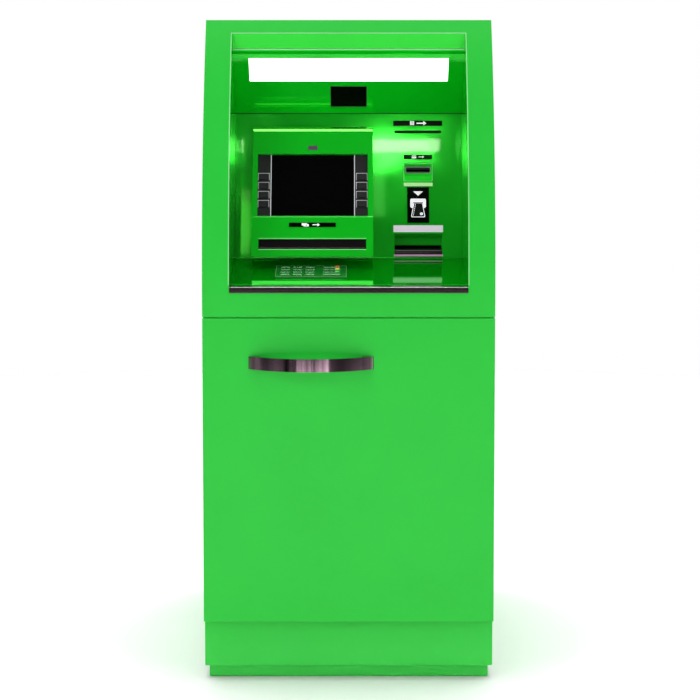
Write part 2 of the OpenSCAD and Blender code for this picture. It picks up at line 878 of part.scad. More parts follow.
module screen_key_left_1() screen_key_cap(-1, 0);
module screen_key_left_2() screen_key_cap(-1, 1);
module screen_key_left_3() screen_key_cap(-1, 2);
module screen_key_left_4() screen_key_cap(-1, 3);
module screen_key_right_1() screen_key_cap(1, 0);
module screen_key_right_2() screen_key_cap(1, 1);
module screen_key_right_3() screen_key_cap(1, 2);
module screen_key_right_4() screen_key_cap(1, 3);
module pin_key_1() pin_key_cap(0, 0);
module pin_key_2() pin_key_cap(1, 0);
module pin_key_3() pin_key_cap(2, 0);
module pin_key_cancel() pin_key_cap(3, 0);
module pin_key_4() pin_key_cap(0, 1);
module pin_key_5() pin_key_cap(1, 1);
module pin_key_6() pin_key_cap(2, 1);
module pin_key_clear() pin_key_cap(3, 1);
module pin_key_7() pin_key_cap(0, 2);
module pin_key_8() pin_key_cap(1, 2);
module pin_key_9() pin_key_cap(2, 2);
module pin_key_enter() pin_key_cap(3, 2);
module pin_key_left() pin_key_cap(0, 3);
module pin_key_0() pin_key_cap(1, 3);
module pin_key_right() pin_key_cap(2, 3);
module pin_key_blank() pin_key_cap(3, 3);

base_frame();
plinth_skirt();
cabinet_frame();
side_panels();
top_cover();
rear_cover();
safe_shell();
safe_door();
note_dispenser();
cash_cassettes();
computer();
power_inlet();
hinge_pins();
safe_lever();
safe_bolts();
door_skin();
door_stiffener();
door_handle();
hood_shell();
header_panel();
back_wall();
liner_sides();
shelf();
sill_trim();
header_light();
camera_window();
monitor_housing();
display_unit();
cash_chute();
card_bezel();
card_reader();
receipt_printer();
pin_pad_frame();
label_plates();
cash_shutter();
exit_roller();
screen_key_left_1();
screen_key_left_2();
screen_key_left_3();
screen_key_left_4();
screen_key_right_1();
screen_key_right_2();
screen_key_right_3();
screen_key_right_4();
pin_key_1();
pin_key_2();
pin_key_3();
pin_key_cancel();
pin_key_4();
pin_key_5();
pin_key_6();
pin_key_clear();
pin_key_7();
pin_key_8();
pin_key_9();
pin_key_enter();
pin_key_left();
pin_key_0();
pin_key_right();
pin_key_blank();
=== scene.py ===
import bpy
import bmesh
import json
import math
from mathutils import Matrix, Vector


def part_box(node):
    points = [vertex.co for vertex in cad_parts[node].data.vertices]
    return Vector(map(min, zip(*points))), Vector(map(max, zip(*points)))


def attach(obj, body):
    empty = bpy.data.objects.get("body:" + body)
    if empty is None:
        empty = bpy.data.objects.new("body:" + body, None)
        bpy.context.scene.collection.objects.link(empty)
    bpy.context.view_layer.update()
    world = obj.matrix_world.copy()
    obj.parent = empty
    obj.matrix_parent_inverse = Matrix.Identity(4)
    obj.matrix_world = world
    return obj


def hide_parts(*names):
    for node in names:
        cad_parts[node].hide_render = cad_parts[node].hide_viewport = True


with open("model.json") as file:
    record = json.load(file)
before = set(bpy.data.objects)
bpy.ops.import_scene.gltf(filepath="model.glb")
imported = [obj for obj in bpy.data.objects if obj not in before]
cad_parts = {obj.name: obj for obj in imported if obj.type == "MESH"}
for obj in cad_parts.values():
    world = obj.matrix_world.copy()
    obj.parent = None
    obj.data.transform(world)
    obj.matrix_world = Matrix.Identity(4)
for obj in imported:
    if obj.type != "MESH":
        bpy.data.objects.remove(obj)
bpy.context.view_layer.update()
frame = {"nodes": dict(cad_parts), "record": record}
NODES = frame["nodes"]
BODY_OF = {n: b for b, members in frame["record"]["behaviour"]["bodies"].items() for n in members}
SLOT_OF = {s["node"]: s["material_slot"] for s in frame["record"]["subparts"]}
FRONT_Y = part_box("door_skin")[0].y
MM = 0.001

# ---------------------------------------------------------------- lay-out in millimetres
# depths are measured from the door's face, heights from the floor
SILL_Z = 875
CURVE_Z = 835           # height at which the hood's front starts to lean back
HOOD_R = 1440           # radius of that lean
OPENING_TOP = 1435
OPENING_FOOT = 879
RECESS_HALF_W = 260.4
SHELF_TILT = math.radians(15.1)
CONSOLE_TILT = math.radians(19.3)
HEADER_TILT = math.radians(37.6)
# depth and height of the shelf's back edge, the seam of wall and header, and the console's foot
SHELF_DEPTH = 196
SHELF_BACK = (SHELF_DEPTH, SILL_Z + SHELF_DEPTH * math.tan(SHELF_TILT))
SEAM = (260, 1261)
CONSOLE_FOOT = (121, 936)
WALL_TILT = math.atan((SEAM[0] - SHELF_BACK[0]) / (SEAM[1] - SHELF_BACK[1]))
# centres of the console, the column with card and paper, and the keypad
CONSOLE_X = -82
COLUMN_X = 160
PAD_X = -84
# places up along the header (camera window) and up along the wall (card bezel and its mouth)
WINDOW_G = 48
BEZEL_G = 200
MOUTH_G = 205.6


def local_frame(x, d, z, tilt):
    """A frame in millimetres: x across, y into the surface, z up along it."""
    scale = Matrix.Scale(MM, 4)
    move = Matrix.Translation((x * MM, FRONT_Y + d * MM, z * MM))
    return move @ Matrix.Rotation(tilt, 4, "X") @ scale


def crosswise(matrix):
    """The same frame for outlines of depth and height that are extruded from side to side."""
    return matrix @ Matrix.Rotation(math.radians(90), 4, "Z")


FACE_ON = local_frame(0, 0, 0, 0)
WALL_ON = local_frame(COLUMN_X, *SHELF_BACK, -WALL_TILT)
CONSOLE_ON = local_frame(CONSOLE_X, *CONSOLE_FOOT, -CONSOLE_TILT)
HEADER_ON = local_frame(0, *SEAM, HEADER_TILT)
PAD_ON = local_frame(PAD_X, 0, SILL_Z, SHELF_TILT - math.radians(90))


# ---------------------------------------------------------------- materials
def node(tree, kind, **values):
    n = tree.nodes.new(kind)
    for key, value in values.items():
        if key in n.inputs:
            n.inputs[key].default_value = value
        else:
            setattr(n, key, value)
    return n


def drifting_colour(tree, coord, colour, vary, big, bands):
    """A colour that drifts slowly between a darker and a lighter tone, in bands where they are given; on the
    handle these bands are painted reflections.
    """
    drift = node(tree, "ShaderNodeTexNoise", Scale=big, Detail=3.0, Roughness=0.55)
    place_on = coord.outputs["Object"]
    if bands:
        along = node(tree, "ShaderNodeMapping", Scale=bands)
        tree.links.new(place_on, along.inputs["Vector"])
        place_on = along.outputs["Vector"]
    tree.links.new(place_on, drift.inputs["Vector"])
    ramp = node(tree, "ShaderNodeValToRGB")
    dark, light = ramp.color_ramp.elements
    dark.position = 0.3
    dark.color = (*(max(0.0, c * (1 - vary)) for c in colour), 1)
    light.position = 0.7
    light.color = (*(min(1.0, c * (1 + vary)) for c in colour), 1)
    tree.links.new(drift.outputs["Fac"], ramp.inputs["Fac"])
    return ramp.outputs["Color"]


def surface_normal(tree, coord, fine, bump, wave):
    """A fine bump from the grain, with a slow swell under it where wave gives its height."""
    grain_bump = node(tree, "ShaderNodeBump", Strength=bump, Distance=0.0004)
    tree.links.new(fine.outputs["Fac"], grain_bump.inputs["Height"])
    if not wave:
        return grain_bump.outputs["Normal"]
    sway = node(tree, "ShaderNodeTexNoise", Scale=6.5, Detail=1.0)
    tree.links.new(coord.outputs["Object"], sway.inputs["Vector"])
    swell = node(tree, "ShaderNodeBump", Strength=1.0, Distance=wave)
    tree.links.new(sway.outputs["Fac"], swell.inputs["Height"])
    tree.links.new(grain_bump.outputs["Normal"], swell.inputs["Normal"])
    return swell.outputs["Normal"]


def surface(name, colour, vary=0.04, rough=0.4, rough_vary=0.06, metal=0.0, coat=0.0, coat_rough=0.1,
            grain=900.0, bump=0.05, stretch=(1, 1, 1), big=6.0, ior=1.5, emit=None, emit_strength=0.0,
            bands=None, wave=0.0):
    """A procedural finish: drifting colour, roughness noise and a fine bump, stretched for brushed metal."""
    material = bpy.data.materials.new(name)
    material.use_nodes = True
    tree = material.node_tree
    shader = tree.nodes["Principled BSDF"]
    coord = node(tree, "ShaderNodeTexCoord")
    mapping = node(tree, "ShaderNodeMapping", Scale=stretch)
    tree.links.new(coord.outputs["Object"], mapping.inputs["Vector"])
    tree.links.new(drifting_colour(tree, coord, colour, vary, big, bands), shader.inputs["Base Color"])
    fine = node(tree, "ShaderNodeTexNoise", Scale=grain, Detail=2.0, Roughness=0.6)
    tree.links.new(mapping.outputs["Vector"], fine.inputs["Vector"])
    spread = node(tree, "ShaderNodeMapRange")
    spread.inputs["To Min"].default_value = max(0.02, rough - rough_vary)
    spread.inputs["To Max"].default_value = rough + rough_vary
    tree.links.new(fine.outputs["Fac"], spread.inputs["Value"])
    tree.links.new(spread.outputs["Result"], shader.inputs["Roughness"])
    if bump:
        tree.links.new(surface_normal(tree, coord, fine, bump, wave), shader.inputs["Normal"])
    shader.inputs["Metallic"].default_value = metal
    shader.inputs["Coat Weight"].default_value = coat
    shader.inputs["Coat Roughness"].default_value = coat_rough
    shader.inputs["IOR"].default_value = ior
    if emit:
        shader.inputs["Emission Color"].default_value = (*emit, 1)
        shader.inputs["Emission Strength"].default_value = emit_strength
    return material


# finishes that several materials share
GLOSS_LACQUER = dict(vary=0.05, rough=0.095, rough_vary=0.01, metal=0.45, grain=500, bump=0.004, coat=0.35,
                     coat_rough=0.025, ior=1.4)
PANEL_LACQUER = dict(vary=0.04, rough_vary=0.01, grain=500, bump=0.003, coat_rough=0.02, ior=1.4)
PALE_PAINT = dict(vary=0.03, grain=900, bump=0.02, coat=0.3, coat_rough=0.1)
BRUSHED = dict(grain=500, stretch=(0.06, 1, 1))
POLISHED = dict(grain=600, bump=0.01)
# faint glow of the colour marks: on the PIN keys' marks it is a painted glow; the computer's green lamp and
# the supply's red switch wear the same materials
LIT_MARK = dict(rough=0.35, grain=900, emit_strength=0.3)

MATS = {
    # greens
    "green_paint": surface("green_powder_coat", (0.012, 0.57, 0.036), vary=0.025, rough=0.45, grain=1400,
                           bump=0.1, coat=0.05, coat_rough=0.35, ior=1.4),
    "recess_paint": surface("green_gloss_lacquer", (0.003, 0.58, 0.014), **GLOSS_LACQUER),
    "wall_lacquer": surface("green_wall_lacquer", (0.003, 0.58, 0.014), wave=0.002, **GLOSS_LACQUER),
    "console_lacquer": surface("green_console_lacquer", (0.002, 0.62, 0.014), vary=0.05, rough=0.13,
                               rough_vary=0.01, metal=0.25, grain=500, bump=0.004, coat=0.45,
                               coat_rough=0.025, ior=1.4),
    "header_lacquer": surface("green_header_lacquer", (0.002, 0.64, 0.014), rough=0.07, metal=0.4, coat=0.4,
                              **PANEL_LACQUER),
    "mirror_lacquer": surface("green_mirror_lacquer", (0.003, 0.62, 0.016), rough=0.05, metal=0.8, coat=0.3,
                              **PANEL_LACQUER),
    "bezel_paint": surface("green_bezel_paint", (0.002, 0.56, 0.012), vary=0.05, rough=0.2, metal=0.3,
                           grain=900, bump=0.02, ior=1.25),
    # pale paint with a faint glow for the bezel's lip bead: a painted highlight
    "glowing_painted_highlight": surface("pale_green_glowing_painted_highlight", (0.6, 0.9, 0.45), rough=0.25, emit=(0.6, 1.0, 0.4),
                         emit_strength=0.12, **PALE_PAINT),
    # pale green paint on the beads, hems and lips round the recess: a painted highlight along their edges
    "pale_painted_highlight": surface("green_painted_edge_highlight", (0.3, 0.84, 0.34), rough=0.3, **PALE_PAINT),
    # paler, mirror-like copy of the console lacquer for the console's top edge: a painted highlight added to
    # the edge's real reflection
    "gloss_painted_highlight": surface("green_gloss_painted_highlight", (0.15, 0.78, 0.1), vary=0.03, rough=0.08, rough_vary=0.01,
                          metal=0.95, grain=500, bump=0.003),
    # metals
    "bare_steel": surface("brushed_steel", (0.52, 0.53, 0.54), vary=0.06, rough=0.3, rough_vary=0.1,
                          metal=1.0, bump=0.06, **BRUSHED),
    "pad_steel": surface("pad_steel", (0.02, 0.42, 0.05), vary=0.06, rough=0.2, rough_vary=0.04, metal=0.7,
                         bump=0.03, **BRUSHED),
    "key_steel": surface("key_steel", (0.16, 0.46, 0.2), vary=0.05, rough=0.25, rough_vary=0.06, metal=0.85,
                         grain=700, bump=0.04, stretch=(0.1, 1, 1)),
    "dark_chrome": surface("smoked_chrome", (0.17, 0.12, 0.14), vary=0.08, rough=0.12, rough_vary=0.04,
                           metal=1.0, grain=600, bump=0.02, stretch=(0.05, 1, 1)),
    "roller_chrome": surface("roller_chrome", (0.012, 0.007, 0.01), vary=0.08, rough=0.1, rough_vary=0.02,
                             metal=0.2, stretch=(0.05, 1, 1), coat=0.15, coat_rough=0.04, ior=1.3,
                             **POLISHED),
    # stripes from near-black to pale across the handle: painted reflection bands on the chrome
    "handle_chrome": surface("handle_chrome", (0.19, 0.125, 0.155), vary=0.92, rough=0.1, rough_vary=0.02,
                             metal=1.0, big=60, bands=(1, 0.01, 0.01), **POLISHED),
    "bright_chrome": surface("bright_chrome", (0.72, 0.68, 0.73), vary=0.04, rough=0.12, rough_vary=0.03,
                             metal=1.0, **POLISHED),
    # lilac chrome with a faint glow for the guide in front of the roller: a painted highlight
    "lilac_chrome_painted_highlight": surface("lilac_chrome_painted_highlight", (0.6, 0.3, 0.54), vary=0.05, rough=0.2, metal=0.6,
                            emit=(0.8, 0.42, 0.74), emit_strength=0.14, **POLISHED),
    # lilac silver strip over the paper tray; the colour is its own, the faint glow a painted highlight
    "silver_strip_painted_glow": surface("silver_strip_painted_glow", (0.9, 0.66, 0.94), vary=0.03, rough=0.3, rough_vary=0.05,
                            grain=700, bump=0.02, stretch=(0.1, 1, 1), emit=(0.9, 0.86, 0.95),
                            emit_strength=0.2),
    "satin_grey": surface("satin_grey", (0.22, 0.23, 0.24), vary=0.05, rough=0.35, grain=900, bump=0.03),
    "zinc": surface("zinc_plated", (0.6, 0.6, 0.55), vary=0.08, rough=0.35, metal=1.0, grain=500, bump=0.05),
    # dark paints and plastics
    "dark_frame": surface("dark_powder_coat", (0.035, 0.038, 0.04), vary=0.12, rough=0.55, grain=1100,
                          bump=0.2),
    "safe_paint": surface("safe_hammer_paint", (0.11, 0.12, 0.13), vary=0.15, rough=0.42, grain=420,
                          bump=0.35),
    "shutter_black": surface("shutter_black", (0.006, 0.004, 0.005), vary=0.1, rough=0.14, rough_vary=0.02,
                             grain=700, bump=0.01, ior=1.35),
    "label_black": surface("label_black", (0.001, 0.002, 0.001), vary=0.1, rough=0.12, rough_vary=0.01,
                           grain=900, bump=0.0, ior=1.1),
    "black_plastic": surface("black_grained_plastic", (0.018, 0.018, 0.02), vary=0.2, rough=0.5, grain=1300,
                             bump=0.3),
    "black_gloss": surface("black_gloss_plastic", (0.006, 0.006, 0.007), vary=0.2, rough=0.1, rough_vary=0.02,
                           grain=700, bump=0.01, coat=0.5, coat_rough=0.03),
    "key_black": surface("key_black", (0.014, 0.013, 0.016), vary=0.2, rough=0.35, rough_vary=0.05, grain=900,
                         bump=0.04),
    "screen_glass": surface("screen_glass", (0.0008, 0.0008, 0.0008), vary=0.2, rough=0.05, rough_vary=0.01,
                            grain=300, bump=0.0, ior=1.22),
    "sensor_mark": surface("sensor_window", (0.12, 0.06, 0.13), vary=0.1, rough=0.2, grain=800, bump=0.02,
                           coat=0.5, coat_rough=0.05),
    "filter_mat": surface("filter_mat", (0.01, 0.011, 0.01), vary=0.3, rough=0.9, grain=500, bump=0.6),
    "rubber": surface("black_rubber", (0.012, 0.012, 0.012), vary=0.2, rough=0.75, grain=900, bump=0.25),
    # lamp, prints and marks
    "light_diffuser": surface("milky_diffuser", (0.9, 0.9, 0.9), vary=0.01, rough=0.35, grain=900, bump=0.02,
                              emit=(1.0, 1.0, 1.0), emit_strength=2.6),
    # pale frames and bars beside the screen keys; the pale colour is their own, the faint glow a painted
    # highlight
    "key_outline_painted_glow": surface("key_outline_painted_glow", (0.62, 0.6, 0.64), vary=0.03, rough=0.3, grain=900, bump=0.02,
                           emit=(0.9, 0.88, 0.95), emit_strength=0.25),
    # white print with a glow: the print is real, the glow is painted light
    "white_print_painted_glow": surface("white_print_painted_glow", (0.88, 0.82, 0.9), vary=0.02, rough=0.45, grain=1500, bump=0.03,
                           emit=(0.96, 0.86, 1.0), emit_strength=0.5),
    "dark_print": surface("dark_print", (0.008, 0.009, 0.008), rough=0.3, grain=1500, bump=0.05, ior=1.2),
    "red_mark": surface("red_mark", (0.75, 0.03, 0.02), emit=(0.9, 0.04, 0.02), **LIT_MARK),
    "yellow_mark": surface("yellow_mark", (0.8, 0.5, 0.02), emit=(0.9, 0.6, 0.05), **LIT_MARK),
    "green_mark": surface("green_mark", (0.03, 0.5, 0.06), emit=(0.05, 0.7, 0.1), **LIT_MARK),
}


# ---------------------------------------------------------------- mesh helpers
def finish_mesh(ob, sharp=38.0, weight=60):
    """Smooth shading, with the edges sharper than the given angle kept."""
    me = ob.data
    me.polygons.foreach_set("use_smooth", [True] * len(me.polygons))
    me.set_sharp_from_angle(angle=math.radians(sharp))
    normals = ob.modifiers.new("weighted", "WEIGHTED_NORMAL")
    normals.keep_sharp = True
    normals.weight = weight


def bevel_sharp(bm, width, segments, angle=28.0):
    edges = [e for e in bm.edges if len(e.link_faces) == 2 and e.calc_face_angle(0) > math.radians(angle)]
    if edges and width > 0:
        bmesh.ops.bevel(bm, geom=edges, offset=width, offset_type="OFFSET", segments=segments, profile=0.5,
                        affect="EDGES", clamp_overlap=True)


def add_object(name, bm, mat, body):
    """The piece itself: its mesh with outward faces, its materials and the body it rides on."""
    bmesh.ops.recalc_face_normals(bm, faces=bm.faces)
    me = bpy.data.meshes.new(name)
    bm.to_mesh(me)
    bm.free()
    ob = bpy.data.objects.new(name, me)
    bpy.context.scene.collection.objects.link(ob)
    for m in (mat if isinstance(mat, (list, tuple)) else [mat]):
        me.materials.append(MATS[m])
    finish_mesh(ob)
    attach(ob, body)
    return ob


def place(bm, matrix):
    bmesh.ops.transform(bm, matrix=matrix, verts=bm.verts)


def rect(cx, cz, w, h):
    corners = ((-1, -1), (1, -1), (1, 1), (-1, 1))
    return [(cx + sx * w / 2, cz + sz * h / 2) for sx, sz in corners]


def rounded_rect(cx, cz, w, h, r, steps=4):
    pts = []
    for sx, sz, a0 in ((1, 1, 0), (-1, 1, 90), (-1, -1, 180), (1, -1, 270)):
        for i in range(steps + 1):
            a = math.radians(a0 + 90 * i / steps)
            pts.append((cx + sx * (w / 2 - r) + r * math.cos(a), cz + sz * (h / 2 - r) + r * math.sin(a)))
    return pts


def circle(cx, cz, r, n=24):
    turns = [2 * math.pi * i / n for i in range(n)]
    return [(cx + r * math.cos(a), cz + r * math.sin(a)) for a in turns]


def prism(bm, outline, y0, y1, mat_index=0):
    """Extrudes an outline given in x and z from y0 to y1, in millimetres."""
    front = [bm.verts.new((x, y0, z)) for x, z in outline]
    back = [bm.verts.new((x, y1, z)) for x, z in outline]
    n = len(outline)
    faces = [bm.faces.new(front), bm.faces.new(back[::-1])]
    for i in range(n):
        j = (i + 1) % n
        faces.append(bm.faces.new((front[j], front[i], back[i], back[j])))
    for f in faces:
        f.material_index = mat_index


def ring_prism(bm, outer, inner, y0, y1, mat_index=0):
    """A frame between two outlines with the same number of points."""
    n = len(outer)
    front_out, front_in, back_out, back_in = [[bm.verts.new((x, y, z)) for x, z in outline]
                                              for y in (y0, y1) for outline in (outer, inner)]
    for i in range(n):
        j = (i + 1) % n
        for quad in ((front_out[i], front_out[j], front_in[j], front_in[i]),
                     (back_out[j], back_out[i], back_in[i], back_in[j]),
                     (front_out[j], front_out[i], back_out[i], back_out[j]),
                     (front_in[i], front_in[j], back_in[j], back_in[i])):
            bm.faces.new(quad).material_index = mat_index


def skin_between(bm, rings):
    """Joins rings of the same number of vertices, one after the other, with four-sided faces."""
    for a, b in zip(rings, rings[1:]):
        n = len(a)
        for k in range(n):
            m = (k + 1) % n
            bm.faces.new((a[m], a[k], b[k], b[m]))


def perforated(bm, xs, zs, holes, y0, y1):
    """A plate on the grid lines xs and zs, without the cells named in holes."""
    solid = {(i, j) for i in range(len(xs) - 1) for j in range(len(zs) - 1)} - set(holes)
    verts = {}

    def corner(i, j, y):
        key = (i, j, y)
        if key not in verts:
            verts[key] = bm.verts.new((xs[i], y, zs[j]))
        return verts[key]

    for i, j in sorted(solid):
        a, b, c, d = (i, j), (i + 1, j), (i + 1, j + 1), (i, j + 1)
        bm.faces.new([corner(*q, y0) for q in (a, b, c, d)])
        bm.faces.new([corner(*q, y1) for q in (d, c, b, a)])
        for p, q, step in ((a, b, (0, -1)), (b, c, (1, 0)), (c, d, (0, 1)), (d, a, (-1, 0))):
            if (i + step[0], j + step[1]) not in solid:
                bm.faces.new((corner(*q, y0), corner(*p, y0), corner(*p, y1), corner(*q, y1)))


def lathe(bm, profile, centre, n=20, mat_index=0):
    """Turns a profile of (radius, y) about the y axis through centre (x, z)."""
    rings = []
    for r, y in profile:
        if r < 1e-6:
            rings.append([bm.verts.new((centre[0], y, centre[1]))])
        else:
            rings.append([bm.verts.new((x, y, z)) for x, z in circle(*centre, r, n)])
    for a, b in zip(rings, rings[1:]):
        for i in range(n):
            j = (i + 1) % n
            if len(a) == 1:
                f = bm.faces.new((a[0], b[i], b[j]))
            elif len(b) == 1:
                f = bm.faces.new((a[i], a[j], b[0]))
            else:
                f = bm.faces.new((a[i], a[j], b[j], b[i]))
            f.material_index = mat_index


def mesh_of_curve(curve):
    """The mesh that a curve makes. The curve itself is removed."""
    ob = bpy.data.objects.new(curve.name, curve)
    bpy.context.scene.collection.objects.link(ob)
    bpy.context.view_layer.update()
    me = bpy.data.meshes.new_from_object(ob.evaluated_get(bpy.context.evaluated_depsgraph_get()))
    bpy.data.objects.remove(ob)
    bpy.data.curves.remove(curve)
    return me


def glyph(bm, text, size, cx, cz, y, depth, mat_index):
    """Adds a raised character, its face at y, to a piece in a local frame."""
    curve = bpy.data.curves.new("glyph", "FONT")
    curve.body = text
    curve.size = size
    curve.extrude = depth / 2
    curve.align_x = "CENTER"
    curve.align_y = "CENTER"
    curve.resolution_u = 3
    me = mesh_of_curve(curve)
    me.transform(Matrix.Translation((cx, y + depth / 2, cz)) @ Matrix.Rotation(math.radians(90), 4, "X"))
    before = set(bm.faces)
    bm.from_mesh(me)
    for f in set(bm.faces) - before:
        f.material_index = mat_index
    bpy.data.meshes.remove(me)


# ---------------------------------------------------------------- kinds of piece
def refine(name, width, mat):
    """The CAD node's own shape with every sharp edge rounded, standing for it."""
    bm = bmesh.new()
    bm.from_mesh(NODES[name].data)
    bmesh.ops.remove_doubles(bm, verts=bm.verts, dist=2e-6)
    bmesh.ops.dissolve_limit(bm, angle_limit=math.radians(0.4), verts=bm.verts, edges=bm.edges)
    bmesh.ops.connect_verts_concave(bm, faces=bm.faces)
    bevel_sharp(bm, width, 2)
    ob = add_object("skin_" + name, bm, mat or SLOT_OF[name], BODY_OF[name])
    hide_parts(name)


def placed_piece(name, bm, matrix, mat, body, slot, width=0.3, segments=2, angle=40):
    """A piece built in a local frame: its edges are rounded and it is moved to its place."""
    bevel_sharp(bm, width, segments, angle)
    place(bm, matrix)
    return add_object(name, bm, mat, body)


def bevelled(name, shapes, matrix, mat, body, slot, width=0.4):
    """One piece from several prisms with rounded edges, each given as (outline, y0, y1, material index)."""
    bm = bmesh.new()
    for shape in shapes:
        prism(bm, *shape)
    bmesh.ops.recalc_face_normals(bm, faces=bm.faces)
    return placed_piece(name, bm, matrix, mat, body, slot, width)


def ring(name, outer, inner, y0, y1, matrix, mat, body, slot, width=0.3, **rounding):
    """A frame between two outlines, with rounded edges."""
    bm = bmesh.new()
    ring_prism(bm, outer, inner, y0, y1)
    return placed_piece(name, bm, matrix, mat, body, slot, width, **rounding)


def tube(name, points, radius, body):
    """A round rubber lead along smooth points given as (x, depth, z) in millimetres."""
    curve = bpy.data.curves.new(name, "CURVE")
    curve.dimensions = "3D"
    curve.bevel_depth = radius * MM
    curve.bevel_resolution = 2
    curve.use_fill_caps = True
    curve.resolution_u = 6
    sp = curve.splines.new("NURBS")
    sp.points.add(len(points) - 1)
    for i, (x, d, z) in enumerate(points):
        sp.points[i].co = (x * MM, FRONT_Y + d * MM, z * MM, 1)
    sp.use_endpoint_u = True
    sp.order_u = 3
    me = mesh_of_curve(curve)
    bm = bmesh.new()
    bm.from_mesh(me)
    bpy.data.meshes.remove(me)
    return add_object(name, bm, "rubber", body)


SCREW = [(0, -1.0), (1.6, -1.0), (1.7, -2.0), (2.9, -1.9), (3.8, -1.0), (4.0, 0.0), (4.0, 0.3), (0, 0.3)]


def screws(name, points, depth, size):
    """Screws with a hollow in the head, at points (x, z) on a face at the given depth."""
    bm = bmesh.new()
    for x, z in points:
        lathe(bm, [(r * size, y * size) for r, y in SCREW], (x, z), 18)
    place(bm, local_frame(0, depth, 0, 0))
    return add_object(name, bm, "zinc", "cabinet")


# ---------------------------------------------------------------- the CAD's own pieces, edges rounded
# width of the rounding in millimetres, and the finish where it isn't the slot's own
ROUND = {
    "base_frame": (1.0, None), "plinth_skirt": (1.0, None), "side_panels": (0.8, None),
    "top_cover": (0.9, None), "rear_cover": (0.5, None), "door_skin": (1.3, None), "hood_shell": (1.3, None),
    "cabinet_frame": (0.5, None), "safe_shell": (1.5, "safe_paint"), "safe_door": (1.5, "safe_paint"),
    "note_dispenser": (0.5, None), "cash_cassettes": (2.0, None), "computer": (0.7, None),
    "power_inlet": (0.5, None), "hinge_pins": (0.3, None), "safe_lever": (1.2, "bright_chrome"),
    "safe_bolts": (1.0, None), "door_stiffener": (0.6, None), "door_handle": (1.6, "handle_chrome"),
    "header_panel": (0.5, "header_lacquer"), "back_wall": (0.5, "wall_lacquer"), "liner_sides": (0.5, None),
    "shelf": (0.5, "mirror_lacquer"), "sill_trim": (0.8, None), "header_light": (0.8, None),
    "camera_window": (0.6, "label_black"), "monitor_housing": (2.2, "console_lacquer"),
    "cash_chute": (0.4, None), "card_bezel": (1.3, "bezel_paint"), "card_reader": (0.6, None),
    "receipt_printer": (0.8, None), "pin_pad_frame": (0.7, None), "cash_shutter": (0.6, "shutter_black"),
    "exit_roller": (0.8, "roller_chrome"), "label_plates": (0.3, "label_black"),
}


def build_cad_skins():
    for name, (width, mat) in ROUND.items():
        refine(name, width * MM, mat)


# ---------------------------------------------------------------- screen console
SIDES = ((-1, "left"), (1, "right"))
DISPLAY_G = 171         # centre of the display, up along the console's face
DISPLAY_HALF_H = 74.5
STRIP_X = 110.5
STRIP_HALF_W = 14.5
KEY_X = 111.8
KEY_TOP_G = 192.5
KEY_PITCH = 21.7
KEY_ROWS = 4
KEY_MOUTH = (23, 15)
KEY_CAP = (22.6, 14.6)


def key_centre(side, row):
    return side * KEY_X, KEY_TOP_G - row * KEY_PITCH


def build_display_glass():
    glass = bevelled("display_glass", [(rect(0, DISPLAY_G, 192, 149), 12, 16, 0)], CONSOLE_ON, "screen_glass",
                     "hood", "black_gloss", 0.5)
    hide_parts("display_unit")


def build_display_case():
    """The panel's case behind the glass, with two rows of cooling slots in its back plate."""
    low_g, high_g = DISPLAY_G - DISPLAY_HALF_H, DISPLAY_G + DISPLAY_HALF_H
    half_w, first_slot, slot_w, slot_pitch = 125, -96, 16, 22
    xs = [-half_w, first_slot - slot_w]
    for k in range(9):
        xs += [first_slot + k * slot_pitch, first_slot + k * slot_pitch + slot_w]
    xs.append(half_w)
    zs = [low_g, low_g + 14, low_g + 20, low_g + 60, high_g - 30, high_g - 24, high_g]
    slots = [(i, j) for i in range(2, len(xs) - 2, 2) for j in (1, 4)]
    bm = bmesh.new()
    perforated(bm, xs, zs, slots, 54, 57)
    perforated(bm, [-half_w, half_w], [low_g, high_g], [], 16.2, 53.6)
    placed_piece("display_case", bm, CONSOLE_ON, "dark_frame", "hood", "dark_frame", 0.8)


def build_key_strip(side, label):
    """The black strip beside the glass, with a mouth for each key."""
    half_w, half_h = KEY_MOUTH[0] / 2 + 0.4, KEY_MOUTH[1] / 2 + 0.4
    strip_x, key_x = side * STRIP_X, side * KEY_X
    xs = [strip_x - STRIP_HALF_W, key_x - half_w, key_x + half_w, strip_x + STRIP_HALF_W]
    zs = [DISPLAY_G - DISPLAY_HALF_H]
    for row in reversed(range(KEY_ROWS)):
        g = key_centre(side, row)[1]
        zs += [g - half_h, g + half_h]
    zs.append(DISPLAY_G + DISPLAY_HALF_H)
    bm = bmesh.new()
    perforated(bm, xs, zs, [(1, 2 * row + 1) for row in range(KEY_ROWS)], 9, 16)
    placed_piece("key_strip_" + label, bm, CONSOLE_ON, "key_black", "hood", "black_gloss", 0.35)


def build_key_surrounds(side, label):
    """Pale frames on the strip, open towards the bottom, one round each key; their faint glow is painted
    light.
    """
    w, h, t = KEY_MOUTH[0] / 2 + 0.5, KEY_MOUTH[1] / 2 + 0.5, 0.9
    bm = bmesh.new()
    for row in range(KEY_ROWS):
        x, g = key_centre(side, row)
        prism(bm, [(x - w - t, g - h), (x - w, g - h), (x - w, g + h), (x + w, g + h), (x + w, g - h),
                   (x + w + t, g - h), (x + w + t, g + h + t), (x - w - t, g + h + t)], 7.9, 9)
    placed_piece("key_surrounds_" + label, bm, CONSOLE_ON, "key_outline_painted_glow", "hood", "dark_chrome", 0.2,
                 segments=1)


def build_glass_edge(side, label):
    """The pale bar between the strip and the glass, glowing faintly as a painted highlight."""
    bevelled("glass_edge_" + label, [(rect(side * 95.4, DISPLAY_G, 1.7, 148.6), 8.2, 13, 0)], CONSOLE_ON,
             "key_outline_painted_glow", "hood", "dark_chrome")


